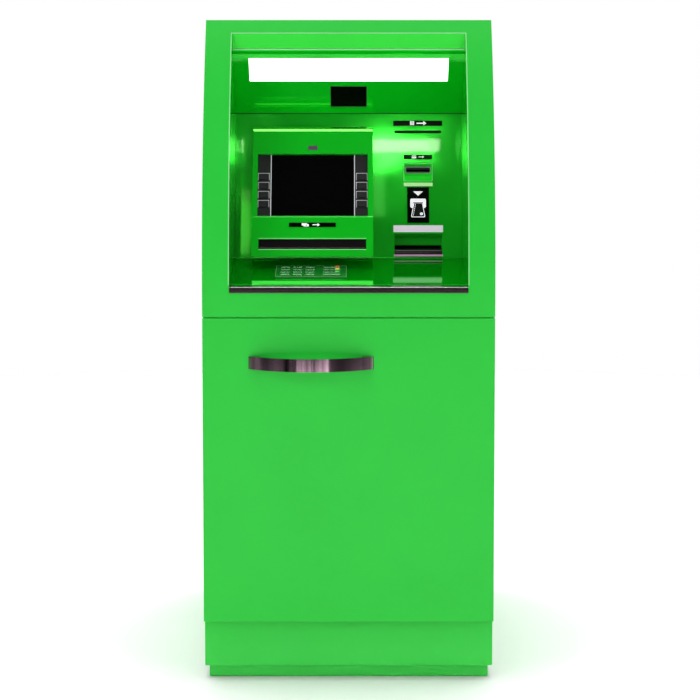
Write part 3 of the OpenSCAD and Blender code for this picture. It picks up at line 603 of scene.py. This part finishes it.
def build_screen_key(side, label, row):
    """A dished key cap: each ring is the outline drawn in by its inset."""
    name = f"screen_key_{label}_{row + 1}"
    x, g = key_centre(side, row)
    half_w, half_h = KEY_CAP[0] / 2, KEY_CAP[1] / 2
    outline = rounded_rect(x, g, *KEY_CAP, 1.6)
    bm = bmesh.new()
    rings = []
    for y, inset in ((14, 0), (6.2, 0), (5.3, 0.5), (5.0, 1.3), (5.25, 3.2), (5.5, 5.4)):
        in_w, in_h = 1 - inset / half_w, 1 - inset / half_h
        rings.append([bm.verts.new((x + (px - x) * in_w, y, g + (pz - g) * in_h)) for px, pz in outline])
    bm.faces.new(rings[0])
    bm.faces.new(rings[-1][::-1])
    skin_between(bm, rings)
    place(bm, CONSOLE_ON)
    ob = add_object("cap_" + name, bm, "key_black", name + "_body")
    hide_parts(name)


def build_sensor_window():
    bevelled("sensor_window", [(rounded_rect(0, 259.5, 21.6, 9.6, 1.2), -0.9, 2, 0)], CONSOLE_ON,
             "sensor_mark", "hood", "black_gloss", 0.3)


def build_display():
    build_display_glass()
    build_display_case()
    for side, label in SIDES:
        build_key_strip(side, label)
        build_key_surrounds(side, label)
        build_glass_edge(side, label)
    for side, label in SIDES:
        for row in range(KEY_ROWS):
            build_screen_key(side, label, row)
    build_sensor_window()


# ---------------------------------------------------------------- labels and pictograms
# the two materials of every print, and the front and back of the prints on each face
WHITE, DARK = 0, 1
WALL_PRINT = (-1.5, -1.1)
CONSOLE_PRINT = (-4.5, -4.1)


def printed(name, shapes, matrix):
    # the white print glows faintly: painted light on the prints
    return bevelled(name, shapes, matrix, ["white_print_painted_glow", "dark_print"], "hood", "light_diffuser", 0.0)


def long_arrow(x, g, s, y0, y1):
    return [(rect(x, g, 9 * s, 1.5 * s), y0, y1, WHITE),
            ([(x + 4.5 * s, g - 3 * s), (x + 8.5 * s, g), (x + 4.5 * s, g + 3 * s)], y0, y1, WHITE)]


def card_mark(x, g, s, y0, y1):
    """A bank card with a stripe."""
    return [(rounded_rect(x, g, 12 * s, 8 * s, 1.2 * s), y0, y1, WHITE),
            (rect(x, g + 1.6 * s, 12.1 * s, 1.6 * s), y0 - 0.1, y1, DARK),
            (rect(x - 3 * s, g - 1.9 * s, 4 * s, 1.1 * s), y0 - 0.1, y1, DARK)]


def receipt_mark(x, g, y0, y1):
    """A torn slip with three lines."""
    slip = [(x - 4.6, g + 4.8), (x - 4.6, g - 3.2), (x - 3, g - 4.8), (x - 1.4, g - 3.2), (x + 0.2, g - 4.8),
            (x + 1.8, g - 3.2), (x + 3.4, g - 4.8), (x + 4.6, g - 3.6), (x + 4.6, g + 4.8)]
    lines = [(rect(x, g + 2.9 - k * 2.1, 6.2, 0.8), y0 - 0.1, y1, DARK) for k in range(3)]
    return [(slip, y0, y1, WHITE)] + lines


def banknotes_mark(x, g, y0, y1):
    """Two banknotes, the front one with a dot, and a dark line between them."""
    rear = [(x - 8, g + 3.6), (x + 4, g + 3.6), (x + 4, g - 1.6), (x - 8, g - 1.6)]
    front = [(x - 4, g + 1.2), (x + 8, g + 1.2), (x + 8, g - 4), (x - 4, g - 4)]
    gap = [(x - 4.6, g + 1.8), (x + 4, g + 1.8), (x + 4, g + 1.4), (x - 4.2, g + 1.4), (x - 4.2, g - 1.6),
           (x - 4.6, g - 1.6)]
    return [(rear, y0, y1, WHITE), (front, y0 - 0.12, y1, WHITE),
            (circle(x + 2, g - 1.4, 1.5, 14), y0 - 0.22, y1, DARK), (gap, y0 - 0.1, y1, DARK)]


def card_slot_mark(c, y0, y1):
    """A large arrow that points down to a slot with a card in it, centred on height c."""
    wider, taller, lower = 1.2, 1.07, 1
    arrow = [(-9.5, c + 31), (9.5, c + 31), (0, c + 21.5)]
    slot_frame = [(-15, c + 12), (-14, c + 15), (14, c + 15), (15, c + 12), (15, c - 3), (13, c - 5),
                  (9.5, c - 5), (9.5, c + 7.5), (-9.5, c + 7.5), (-9.5, c - 5), (-13, c - 5), (-15, c - 3)]
    card = [(-8.6, c + 6), (8.6, c + 6), (13.4, c - 23), (12, c - 25.5), (-12, c - 25.5), (-13.4, c - 23)]
    inner = [(-7.6, c + 5.2), (7.6, c + 5.2), (12, c - 22.6), (11, c - 24), (-11, c - 24), (-12, c - 22.6)]
    shapes = [(arrow, y0, y1, WHITE), (slot_frame, y0, y1, WHITE), (card, y0 + 0.05, y1, WHITE),
              (inner, y0 - 0.02, y1, DARK), (circle(6.4, c - 18, 3.1, 18), y0 - 0.1, y1, WHITE)]
    for k in range(6):
        x, z = -5.2 - k * 0.75, c + 3 - k * 4.4
        dash = [(x - 0.5, z), (x + 0.5, z), (x + 0.1, z - 2.8), (x - 0.9, z - 2.8)]
        shapes.append((dash, y0 - 0.1, y1, WHITE))
    return [([(x * wider, c - lower + (z - c) * taller) for x, z in outline], front, back, index)
            for outline, front, back, index in shapes]


def build_labels():
    receipt_g, card_g, notes_g = 316.4, 237, 73.7
    printed("wall_pictograms",
            receipt_mark(-13, receipt_g, *WALL_PRINT) + long_arrow(5, receipt_g, 1.75, *WALL_PRINT)
            + card_mark(-9, card_g, 0.85, *WALL_PRINT) + long_arrow(6, card_g, 1.0, *WALL_PRINT), WALL_ON)
    printed("console_pictogram",
            banknotes_mark(-16, notes_g, *CONSOLE_PRINT) + long_arrow(6, notes_g, 1.25, *CONSOLE_PRINT),
            CONSOLE_ON)
    printed("card_pictogram", card_slot_mark(124, *WALL_PRINT), WALL_ON)
    # the silver strip over the paper tray; its faint glow is a painted highlight
    bevelled("tray_strip", [(rounded_rect(0, 69, 114, 15.8, 1.0), -1.6, 0.2, 0)], WALL_ON, "silver_strip_painted_glow",
             "hood", "light_diffuser", 0.5)


# ---------------------------------------------------------------- PIN pad
PAD_KEYS = (("1", "2", "3", "cancel"), ("4", "5", "6", "clear"), ("7", "8", "9", "enter"),
            ("left", "0", "right", "blank"))
PAD_COLUMNS = (-57.3, -29.8, -2.5, 46.2)
PAD_TOP_ROW = 127.8
PAD_PITCH = 17.8
PAD_KEY_H = 13
NUMBER_KEY_W = 21.6
FUNCTION_KEY_W = 39.5
FUNCTION_MARKS = {"cancel": "red_mark", "clear": "yellow_mark", "enter": "green_mark"}
# height of a key's face, and of the front and the back of the marks on it
KEY_FACE = -6
MARK = (-6.1, -5.8)


def function_symbol(bm, key, x, t):
    """A cross, an arrow or a ring on the left half of a function key."""
    if key == "cancel":
        prism(bm, [(x - 9, t + 3), (x - 7.8, t + 3), (x - 1.8, t - 3), (x - 3, t - 3)], *MARK, 1)
        prism(bm, [(x - 3, t + 3), (x - 1.8, t + 3), (x - 7.8, t - 3), (x - 9, t - 3)], MARK[0] - 0.02,
              MARK[1], 1)
    if key == "clear":
        prism(bm, [(x - 10, t), (x - 6, t + 3), (x - 6, t + 0.8), (x - 1, t + 0.8), (x - 1, t - 0.8),
                   (x - 6, t - 0.8), (x - 6, t - 3)], *MARK, 1)
    if key == "enter":
        ring_prism(bm, circle(x - 5.5, t, 3.6, 20), circle(x - 5.5, t, 2.6, 20), *MARK, 1)


def build_pin_key(key, x, t, width):
    """One metal key with its digit or mark. Its materials are the metal, the dark print and the colour."""
    bm = bmesh.new()
    prism(bm, rounded_rect(x, t, width, PAD_KEY_H, 1.4), KEY_FACE, 1.2, 0)
    bmesh.ops.recalc_face_normals(bm, faces=bm.faces)
    bevel_sharp(bm, 0.9, 3, 50)
    if key.isdigit():
        glyph(bm, key, 9.5, x, t, KEY_FACE - 0.12, 0.3, 1)
    if key in FUNCTION_MARKS:
        prism(bm, rounded_rect(x + 12.4, t, 9, 7.5, 1.0), KEY_FACE - 0.15, MARK[1], 2)
        function_symbol(bm, key, x, t)
    place(bm, PAD_ON)
    name = "pin_key_" + key
    mats = ["key_steel", "dark_print", FUNCTION_MARKS.get(key, "dark_print")]
    ob = add_object("cap_" + name, bm, mats, name + "_body")
    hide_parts(name)


def build_pin_pad():
    for row, names in enumerate(PAD_KEYS):
        for x, key in zip(PAD_COLUMNS, names):
            width = FUNCTION_KEY_W if x == PAD_COLUMNS[-1] else NUMBER_KEY_W
            build_pin_key(key, x, PAD_TOP_ROW - row * PAD_PITCH, width)
    # thin bright rim round the frame
    ring("pad_rim", rounded_rect(0, 101, 158.4, 77.4, 3), rounded_rect(0, 101, 156.6, 75.6, 2), -3.5, -2.6,
         PAD_ON, "satin_grey", "hood", "dark_chrome")


# ---------------------------------------------------------------- edges and trim of the recess
BEAD_STEPS = 32
AXLE = (10, 13)         # depth and height of the roller's axle on the wall


def hood_depth(z):
    """Depth of the hood's curved front at height z."""
    return HOOD_R - math.sqrt(HOOD_R ** 2 - max(0, z - CURVE_Z) ** 2)


def build_opening_bead(side, label):
    """Rounded bead along one side of the recess's opening, following the hood's curved front, in pale paint
    as a painted highlight.
    """
    section = ((0.8, 1.5), (0.6, -0.1), (1.1, -0.7), (2.0, -0.8), (2.8, -0.2), (2.8, 1.0))
    bm = bmesh.new()
    rows = []
    for i in range(BEAD_STEPS + 1):
        z = OPENING_FOOT + (OPENING_TOP - OPENING_FOOT) * i / BEAD_STEPS
        d = hood_depth(z)
        rows.append([bm.verts.new((side * (RECESS_HALF_W + x), d + y, z)) for x, y in section])
    skin_between(bm, rows)
    bm.faces.new(rows[0])
    bm.faces.new(rows[-1])
    place(bm, FACE_ON)
    add_object("opening_bead_" + label, bm, "pale_painted_highlight", "hood")


def build_opening_bead_top():
    """Straight bead along the opening's upper edge, in pale paint as a painted highlight."""
    d = hood_depth(OPENING_TOP)
    bevelled("opening_bead_top", [(rect(0, OPENING_TOP + 0.6, 526, 2.2), d - 0.9, d + 1.2, 0)], FACE_ON,
             "pale_painted_highlight", "hood", "green_paint", 0.5)


def build_window_frame():
    """Dark frame round the camera window in the header."""
    ring("window_frame", rounded_rect(0, WINDOW_G, 83.6, 57.6, 1.5), rounded_rect(0, WINDOW_G, 81, 55, 1.2),
         0.3, 2.5, HEADER_ON, "black_plastic", "hood", "black_gloss")


def build_sill_bead():
    """Bright bead along the sill trim's upper edge."""
    section = [(-1.4, -0.7), (-1.4, 0.0), (-0.4, 0.6), (0.8, 0.8), (0.8, -0.7)]
    half_w = RECESS_HALF_W + 0.1
    bevelled("sill_bead", [(section, -half_w, half_w, 0)], crosswise(local_frame(0, 0, SILL_Z, 0)),
             "bright_chrome", "hood", "dark_chrome", 0.2)


def build_console_top_edge():
    """Rounded upper edge of the console, in a paler, mirror-like copy of the lacquer: a painted highlight on
    top of the edge's real reflection.
    """
    section = [(3.4, 300.5), (1.3, 301), (4.4, 311.2), (6.2, 313), (8.6, 314), (13, 314.4), (13, 308),
               (5, 300)]
    bevelled("console_top_edge", [(section, -137.4, 137.4, 0)], crosswise(CONSOLE_ON), "gloss_painted_highlight", "hood",
             "recess_paint", 0.0)


def build_shelf_joint_strip():
    """Sealing strip in the joint of the shelf and the back wall."""
    width = 2 * RECESS_HALF_W - 0.2
    bevelled("shelf_joint_strip", [(rect(-COLUMN_X, 1.45, width, 1.9), 0.3, 2.3, 0)], WALL_ON, "wall_lacquer",
             "hood", "recess_paint", 0.3)


def build_bezel_edges():
    """Rounded bead on the card bezel's lip, and the bezel's raised outline, both in pale paint as painted
    highlights; the bead also glows faintly.
    """
    bead = [(-9.0 + 2.2 * x, 170.8 + 4.2 * z) for x, z in circle(0, 0, 1, 16)]
    bevelled("bezel_lip_bead", [(bead, -33.2, 33.2, 0)], crosswise(WALL_ON), "glowing_painted_highlight", "hood",
             "recess_paint", 0.0)
    ring("bezel_outline", rounded_rect(0, BEZEL_G, 66.4, 41, 1.2), rounded_rect(0, BEZEL_G, 64.6, 39.2, 0.6),
         -5.1, -4.3, WALL_ON, "pale_painted_highlight", "hood", "recess_paint", 0.0)


def build_lip_hem():
    """Rolled hem where the lip meets the header panel, in pale paint as a painted highlight."""
    hem = circle(151.2, 1401.4, 1.6, 16)
    bevelled("lip_hem", [(hem, -RECESS_HALF_W, RECESS_HALF_W, 0)], crosswise(FACE_ON), "pale_painted_highlight", "hood",
             "recess_paint", 0.0)


def build_roller_bearing(side, label):
    """Washer on the roller's axle, beside the roller's end."""
    middle = side * 55.3
    ring("roller_bearing_" + label, circle(*AXLE, 7.2, 28), circle(*AXLE, 3.3, 28),
         middle - 0.5, middle + 0.5, crosswise(WALL_ON), "black_plastic", "hood", "black_plastic", 0.2)


def build_roller_back_guide():
    """Black guide behind the roller."""
    bevelled("roller_back_guide", [(rounded_rect(0, 23, 108, 22, 1), 22.5, 24.5, 0)], WALL_ON, "label_black",
             "hood", "black_plastic", 0.3)


def build_slot_lips():
    """Wiper edge under the cash slot and a shallow lip over it, both in pale paint as painted highlights."""
    bevelled("slot_lip", [(rect(0, g, 243, 1.6), -3.8, -2.4, 0) for g in (15.4, 41.6)], CONSOLE_ON,
             "pale_painted_highlight", "hood", "recess_paint")


def build_recess_details():
    build_window_frame()
    build_sill_bead()
    build_console_top_edge()
    for side, label in SIDES:
        build_opening_bead(side, label)
    build_opening_bead_top()
    build_shelf_joint_strip()
    build_bezel_edges()
    build_lip_hem()
    for side, label in SIDES:
        build_roller_bearing(side, label)
    build_roller_back_guide()
    build_slot_lips()


# ---------------------------------------------------------------- hood: gaskets, cases, guides and leads
# route of each module's lead as (x, depth, z), with its radius
HOOD_LEADS = {
    "pad_lead": ([(-84, 118, 880), (-84, 180, 868), (-130, 260, 850), (-190, 340, 842), (-230, 400, 850)], 3),
    "display_lead": ([(-120, 262, 1085), (-120, 300, 1080), (-170, 340, 1040), (-235, 370, 960),
                      (-240, 400, 860)], 3.5),
    "reader_lead": ([(160, 385, 1115), (160, 405, 1110), (210, 410, 1060), (245, 405, 960),
                     (245, 400, 860)], 2.5),
    "printer_lead": ([(180, 372, 1200), (185, 400, 1190), (225, 408, 1120), (250, 402, 1000),
                      (250, 400, 870)], 2.5),
    "lamp_lead": ([(-150, 225, 1395), (-150, 270, 1400), (-200, 330, 1380), (-250, 380, 1250),
                   (-250, 400, 1000)], 2),
}


def build_hood_edges():
    """Gasket behind the seam of wall and header, and the folded drip edge under the hood's front."""
    bevelled("seam_gasket", [(rect(0, SEAM[1] + 0.5, 516, 10), 262.8, 268, 0)], FACE_ON, "rubber", "hood",
             "black_plastic", 0.6)
    bevelled("hood_drip_edge", [(rect(0, 809.5, 638, 2.2), 2.2, 18, 0)], FACE_ON, "green_paint", "hood",
             "green_paint", 0.3)


def build_header_cases():
    """The lamp's case with its driver box, and the camera window's case, behind the header."""
    lamp_g = 121.8
    bevelled("lamp_case", [(rounded_rect(0, lamp_g, 456, 66, 3), 9.2, 30, 0),
                           (rounded_rect(-150, lamp_g, 90, 40, 2), 30, 52, 0)],
             HEADER_ON, "dark_frame", "hood", "dark_frame", 1.0)
    bevelled("window_case", [(rounded_rect(0, WINDOW_G, 92, 50, 3), 30.5, 44, 0)], HEADER_ON,
             "black_plastic", "hood", "black_plastic", 0.8)


def build_mouth_collar():
    """Collar round the card mouth."""
    ring("mouth_collar", rounded_rect(0, MOUTH_G, 58.5, 15.4, 4.5), rounded_rect(0, MOUTH_G, 54.6, 11.6, 3.2),
         -4.3, -3, WALL_ON, "satin_grey", "hood", "pad_steel", 0.35)


def build_slot_grip():
    """Raised line on the shutter of the cash slot."""
    bevelled("slot_grip", [(rect(0, 20.6, 240, 2.2), 0.2, 0.9, 0)], CONSOLE_ON, "dark_chrome",
             "cash_shutter_body", "dark_chrome", 0.3)


def build_tray_guide():
    """Lilac guide bar in front of the roller's lower edge, with a foot on the wall at each end; it glows
    faintly and stands in for the roller's highlight, a painted highlight.
    """
    bar = (rect(0, 6.8, 112.4, 4.6), -1.6, -0.6, 0)
    feet = [(rect(side * 55.7, 6.8, 1, 4.6), -0.8, 0.1, 0) for side in (-1, 1)]
    bevelled("tray_guide", [bar, *feet], WALL_ON, "lilac_chrome_painted_highlight", "hood", "dark_chrome", 0.3)


def build_hood_inside():
    build_hood_edges()
    build_header_cases()
    build_mouth_collar()
    build_slot_grip()
    build_tray_guide()
    for name, (points, radius) in HOOD_LEADS.items():
        tube(name, points, radius, "hood")


# ---------------------------------------------------------------- cabinet: seals, filters, safe and computer
def build_seals():
    """Rubber seal round the hood's opening, and packings in the joints of the side panels."""
    ring("hood_seal", rounded_rect(0, 1136, 616, 644, 6), rounded_rect(0, 1136, 600, 628, 3), 430.8, 441.6,
         FACE_ON, "rubber", "cabinet", "black_plastic", 2.5, segments=3, angle=50)
    shapes = []
    for x in (-314.5, 314.5):
        shapes.append((rect(x, 132.5, 4, 9), 42, 838, 0))
        shapes.append((rect(x, 806.6, 4, 7), 36, 428, 0))
    bevelled("joint_packing", shapes, FACE_ON, "rubber", "cabinet", "black_plastic", 0.6)


def build_dust_filters():
    """Dust filters behind the louvres."""
    shapes = [(rounded_rect(x, z, 200, 160, 3), 841, 846.6, 0) for x in (-150, 150) for z in (925, 1305)]
    bevelled("dust_filters", shapes, FACE_ON, "filter_mat", "cabinet", "black_plastic", 0.8)


def build_safe_lock():
    """Round keypad of the safe's electronic lock, with twelve keys."""
    lock_x, lock_z = 40, 500
    bm = bmesh.new()
    lathe(bm, [(0, -1.5), (32, -1.5), (35, 0.5), (35, 3), (0, 3)], (0, 0), 40)
    place(bm, local_frame(lock_x, 76, lock_z, 0))
    add_object("lock_dial", bm, "black_plastic", "cabinet")
    shapes = [(rounded_rect(lock_x + (col - 1) * 13, lock_z + 17 - row * 11, 9.5, 7.5, 1.4), 72.4, 75, 0)
              for row in range(4) for col in range(3)]
    bevelled("lock_keys", shapes, FACE_ON, "rubber", "cabinet", "black_plastic", 0.5)


def build_lever_ring():
    """Ring round the safe lever's hub."""
    bm = bmesh.new()
    lathe(bm, [(14, -0.6), (20, -0.6), (21, 0.4), (21, 1), (14, 1)], (-110, 400), 36)
    place(bm, local_frame(0, 84, 0, 0))
    add_object("lever_ring", bm, "zinc", "safe_lever_body")


def build_safe_front():
    build_safe_lock()
    screws("safe_door_screws", [(262, z) for z in (140, 240, 550, 650)], 98, 1.4)
    build_lever_ring()


# foot of the computer and the power supply, and the row of buttons and ports over it
DECK_Z = 787
PORTS_Z = DECK_Z + 215


def build_computer_button():
    """Power button and two small lamps, one of them green."""
    lamp = [(0, -1), (1.6, -1), (2, -0.4), (2, 0.5), (0, 0.5)]
    bm = bmesh.new()
    lathe(bm, [(0, -2), (5, -2), (6, -1), (6, 0.5), (0, 0.5)], (-70, PORTS_Z), 24)
    lathe(bm, lamp, (-90, PORTS_Z), 16)
    lathe(bm, lamp, (-100, PORTS_Z), 16, 1)
    place(bm, local_frame(0, 549.5, 0, 0))
    add_object("computer_button", bm, ["key_steel", "green_mark"], "cabinet")


def build_computer_ports():
    """Two data ports, and the disc drive's slot with its button."""
    ports = (-150, -172)
    shapes = [(rect(x, PORTS_Z, 14, 6.5), 548.6, 550.5, 0) for x in ports]
    shapes += [(rect(x, PORTS_Z, 10, 2.4), 548.4, 550, 1) for x in ports]
    shapes += [(rect(-140, DECK_Z + 271, 150, 3), 545.4, 547, 1),
               (rounded_rect(-72, DECK_Z + 258, 18, 5, 1), 545, 547, 0)]
    bevelled("computer_ports", shapes, FACE_ON, ["zinc", "dark_print"], "cabinet", "bare_steel", 0.3)


def build_supply_switch():
    """Red switch and the outlet beside it."""
    z = DECK_Z + 20
    bevelled("supply_switch", [(rounded_rect(200, z, 20, 13, 2), 577.6, 580.5, 0),
                               (rect(100, z, 26, 12), 578.4, 580.5, 1)], FACE_ON,
             ["red_mark", "black_plastic"], "cabinet", "black_plastic", 0.5)


def build_computer_front():
    build_computer_button()
    build_computer_ports()
    screws("computer_screws", [(x, DECK_Z + z) for z in (12, 318) for x in (-242, -38)], 550, 0.7)
    screws("supply_screws", [(x, DECK_Z + z) for z in (10, 140) for x in (68, 232)], 580, 0.7)
    build_supply_switch()
    tube("supply_lead", [(100, 578, DECK_Z + 20), (100, 560, DECK_Z + 12), (40, 545, DECK_Z + 6),
                         (-20, 545, DECK_Z + 6), (-40, 560, DECK_Z + 10)], 3.2, "cabinet")


# ---------------------------------------------------------------- camera, light, floor, in metres
CAMERA_BACK = 3.6       # from the door's face
CAMERA_Z = 1.117
CAMERA_PITCH = 3.79
LENS = 85.15
SHIFT = (0.0019, -0.092)
FLOOR_R = 5.5
PALE_GREEN = (0.85, 1, 0.72)
YELLOW_GREEN = (0.72, 1, 0.42)


def build_camera(scene):
    data = bpy.data.cameras.new("camera")
    data.sensor_width = 36
    data.lens = LENS
    data.shift_x, data.shift_y = SHIFT
    camera = bpy.data.objects.new("camera", data)
    camera.location = (0, FRONT_Y - CAMERA_BACK, CAMERA_Z)
    camera.rotation_euler = (math.radians(90 - CAMERA_PITCH), 0, 0)
    scene.collection.objects.link(camera)
    scene.camera = camera


def build_floor(scene):
    bm = bmesh.new()
    bmesh.ops.create_circle(bm, cap_ends=True, segments=64, radius=FLOOR_R)
    me = bpy.data.meshes.new("floor")
    bm.to_mesh(me)
    bm.free()
    floor = bpy.data.objects.new("floor", me)
    floor.location = (0, 0, -0.0005)
    scene.collection.objects.link(floor)
    me.materials.append(surface("studio_floor", (0.9, 0.9, 0.9), vary=0.01, rough=0.7, grain=60, bump=0.0))


def area_light(name, loc, target, size, power, spread=180, colour=(1, 1, 1)):
    data = bpy.data.lights.new(name, "AREA")
    data.shape = "RECTANGLE"
    data.size, data.size_y = size
    data.energy = power
    data.spread = math.radians(spread)
    data.color = colour
    ob = bpy.data.objects.new(name, data)
    ob.location = loc
    direction = Vector(target) - Vector(loc)
    ob.rotation_euler = direction.to_track_quat("-Z", "Y").to_euler()
    bpy.context.scene.collection.objects.link(ob)


def build_lights():
    area_light("key_light", (-2.7, -3.3, 2.5), (0, -0.3, 0.7), (1.3, 1.8), 40)
    area_light("fill_light", (2.9, -3.3, 2.3), (0, -0.3, 0.7), (1.3, 1.8), 31)
    area_light("low_light", (0, -3.5, 0.2), (0, -0.4, 0.08), (2.6, 0.3), 6.5)
    area_light("foot_light", (0, -1.7, 0.03), (0, -0.4, 0.03), (1.4, 0.05), 0.11, spread=10)
    # small lamps that the glossy recess mirrors as bright bands and streaks
    area_light("band_light", (0.245, -3.85, 2.742), (0.12, -0.15, 1.16), (0.37, 0.06), 2.2, colour=PALE_GREEN)
    area_light("band_left", (-0.53, -3.85, 2.742), (-0.25, -0.15, 1.16), (0.06, 0.06), 0.25,
               colour=PALE_GREEN)
    area_light("lip_light", (0.25, -2.32, 3.18), (0.16, -0.17, 1.095), (0.14, 0.08), 0.1, colour=PALE_GREEN)
    area_light("streak_left", (-0.5, -3.85, 2.36), (-0.25, -0.15, 1.0), (0.08, 0.3), 0.2, colour=YELLOW_GREEN)
    area_light("streak_right", (0.62, -3.85, 2.62), (0.2, -0.15, 1.1), (0.06, 0.1), 0.04, colour=PALE_GREEN)
    area_light("streak_mid", (0.13, -3.85, 2.52), (0.06, -0.15, 1.05), (0.08, 0.25), 0.1, colour=PALE_GREEN)
    # wide lamp overhead that keeps the floor white out to its edge
    area_light("floor_light", (0, 0, 5.5), (0, 0.001, 0), (19, 19), 900, spread=60)


def build_world(scene):
    """A pale studio: white behind the object, darker on the side of the camera."""
    world = bpy.data.worlds.new("studio")
    scene.world = world
    world.use_nodes = True
    tree = world.node_tree
    background = tree.nodes["Background"]
    coord = node(tree, "ShaderNodeTexCoord")
    split = node(tree, "ShaderNodeSeparateXYZ")
    spread = node(tree, "ShaderNodeMapRange", interpolation_type="SMOOTHSTEP")
    spread.inputs["From Min"].default_value = -0.35
    spread.inputs["From Max"].default_value = 0.45
    spread.inputs["To Min"].default_value = 0.1
    spread.inputs["To Max"].default_value = 1.0
    tree.links.new(coord.outputs["Generated"], split.inputs["Vector"])
    tree.links.new(split.outputs["Y"], spread.inputs["Value"])
    seen = node(tree, "ShaderNodeLightPath")
    pick = node(tree, "ShaderNodeMix", data_type="FLOAT")
    tree.links.new(seen.outputs["Is Camera Ray"], pick.inputs["Factor"])
    tree.links.new(spread.outputs["Result"], pick.inputs["A"])
    pick.inputs["B"].default_value = 1.0
    tree.links.new(pick.outputs["Result"], background.inputs["Strength"])
    background.inputs["Color"].default_value = (1, 1, 1, 1)


def build_stage():
    scene = bpy.context.scene
    build_camera(scene)
    build_floor(scene)
    build_lights()
    build_world(scene)
    scene.view_settings.view_transform = "Standard"
    scene.view_settings.look = "None"


# ---------------------------------------------------------------- the whole machine
build_cad_skins()
build_stage()
build_hood_inside()
build_seals()
build_dust_filters()
build_safe_front()
build_computer_front()
build_display()
build_labels()
build_pin_pad()
build_recess_details()
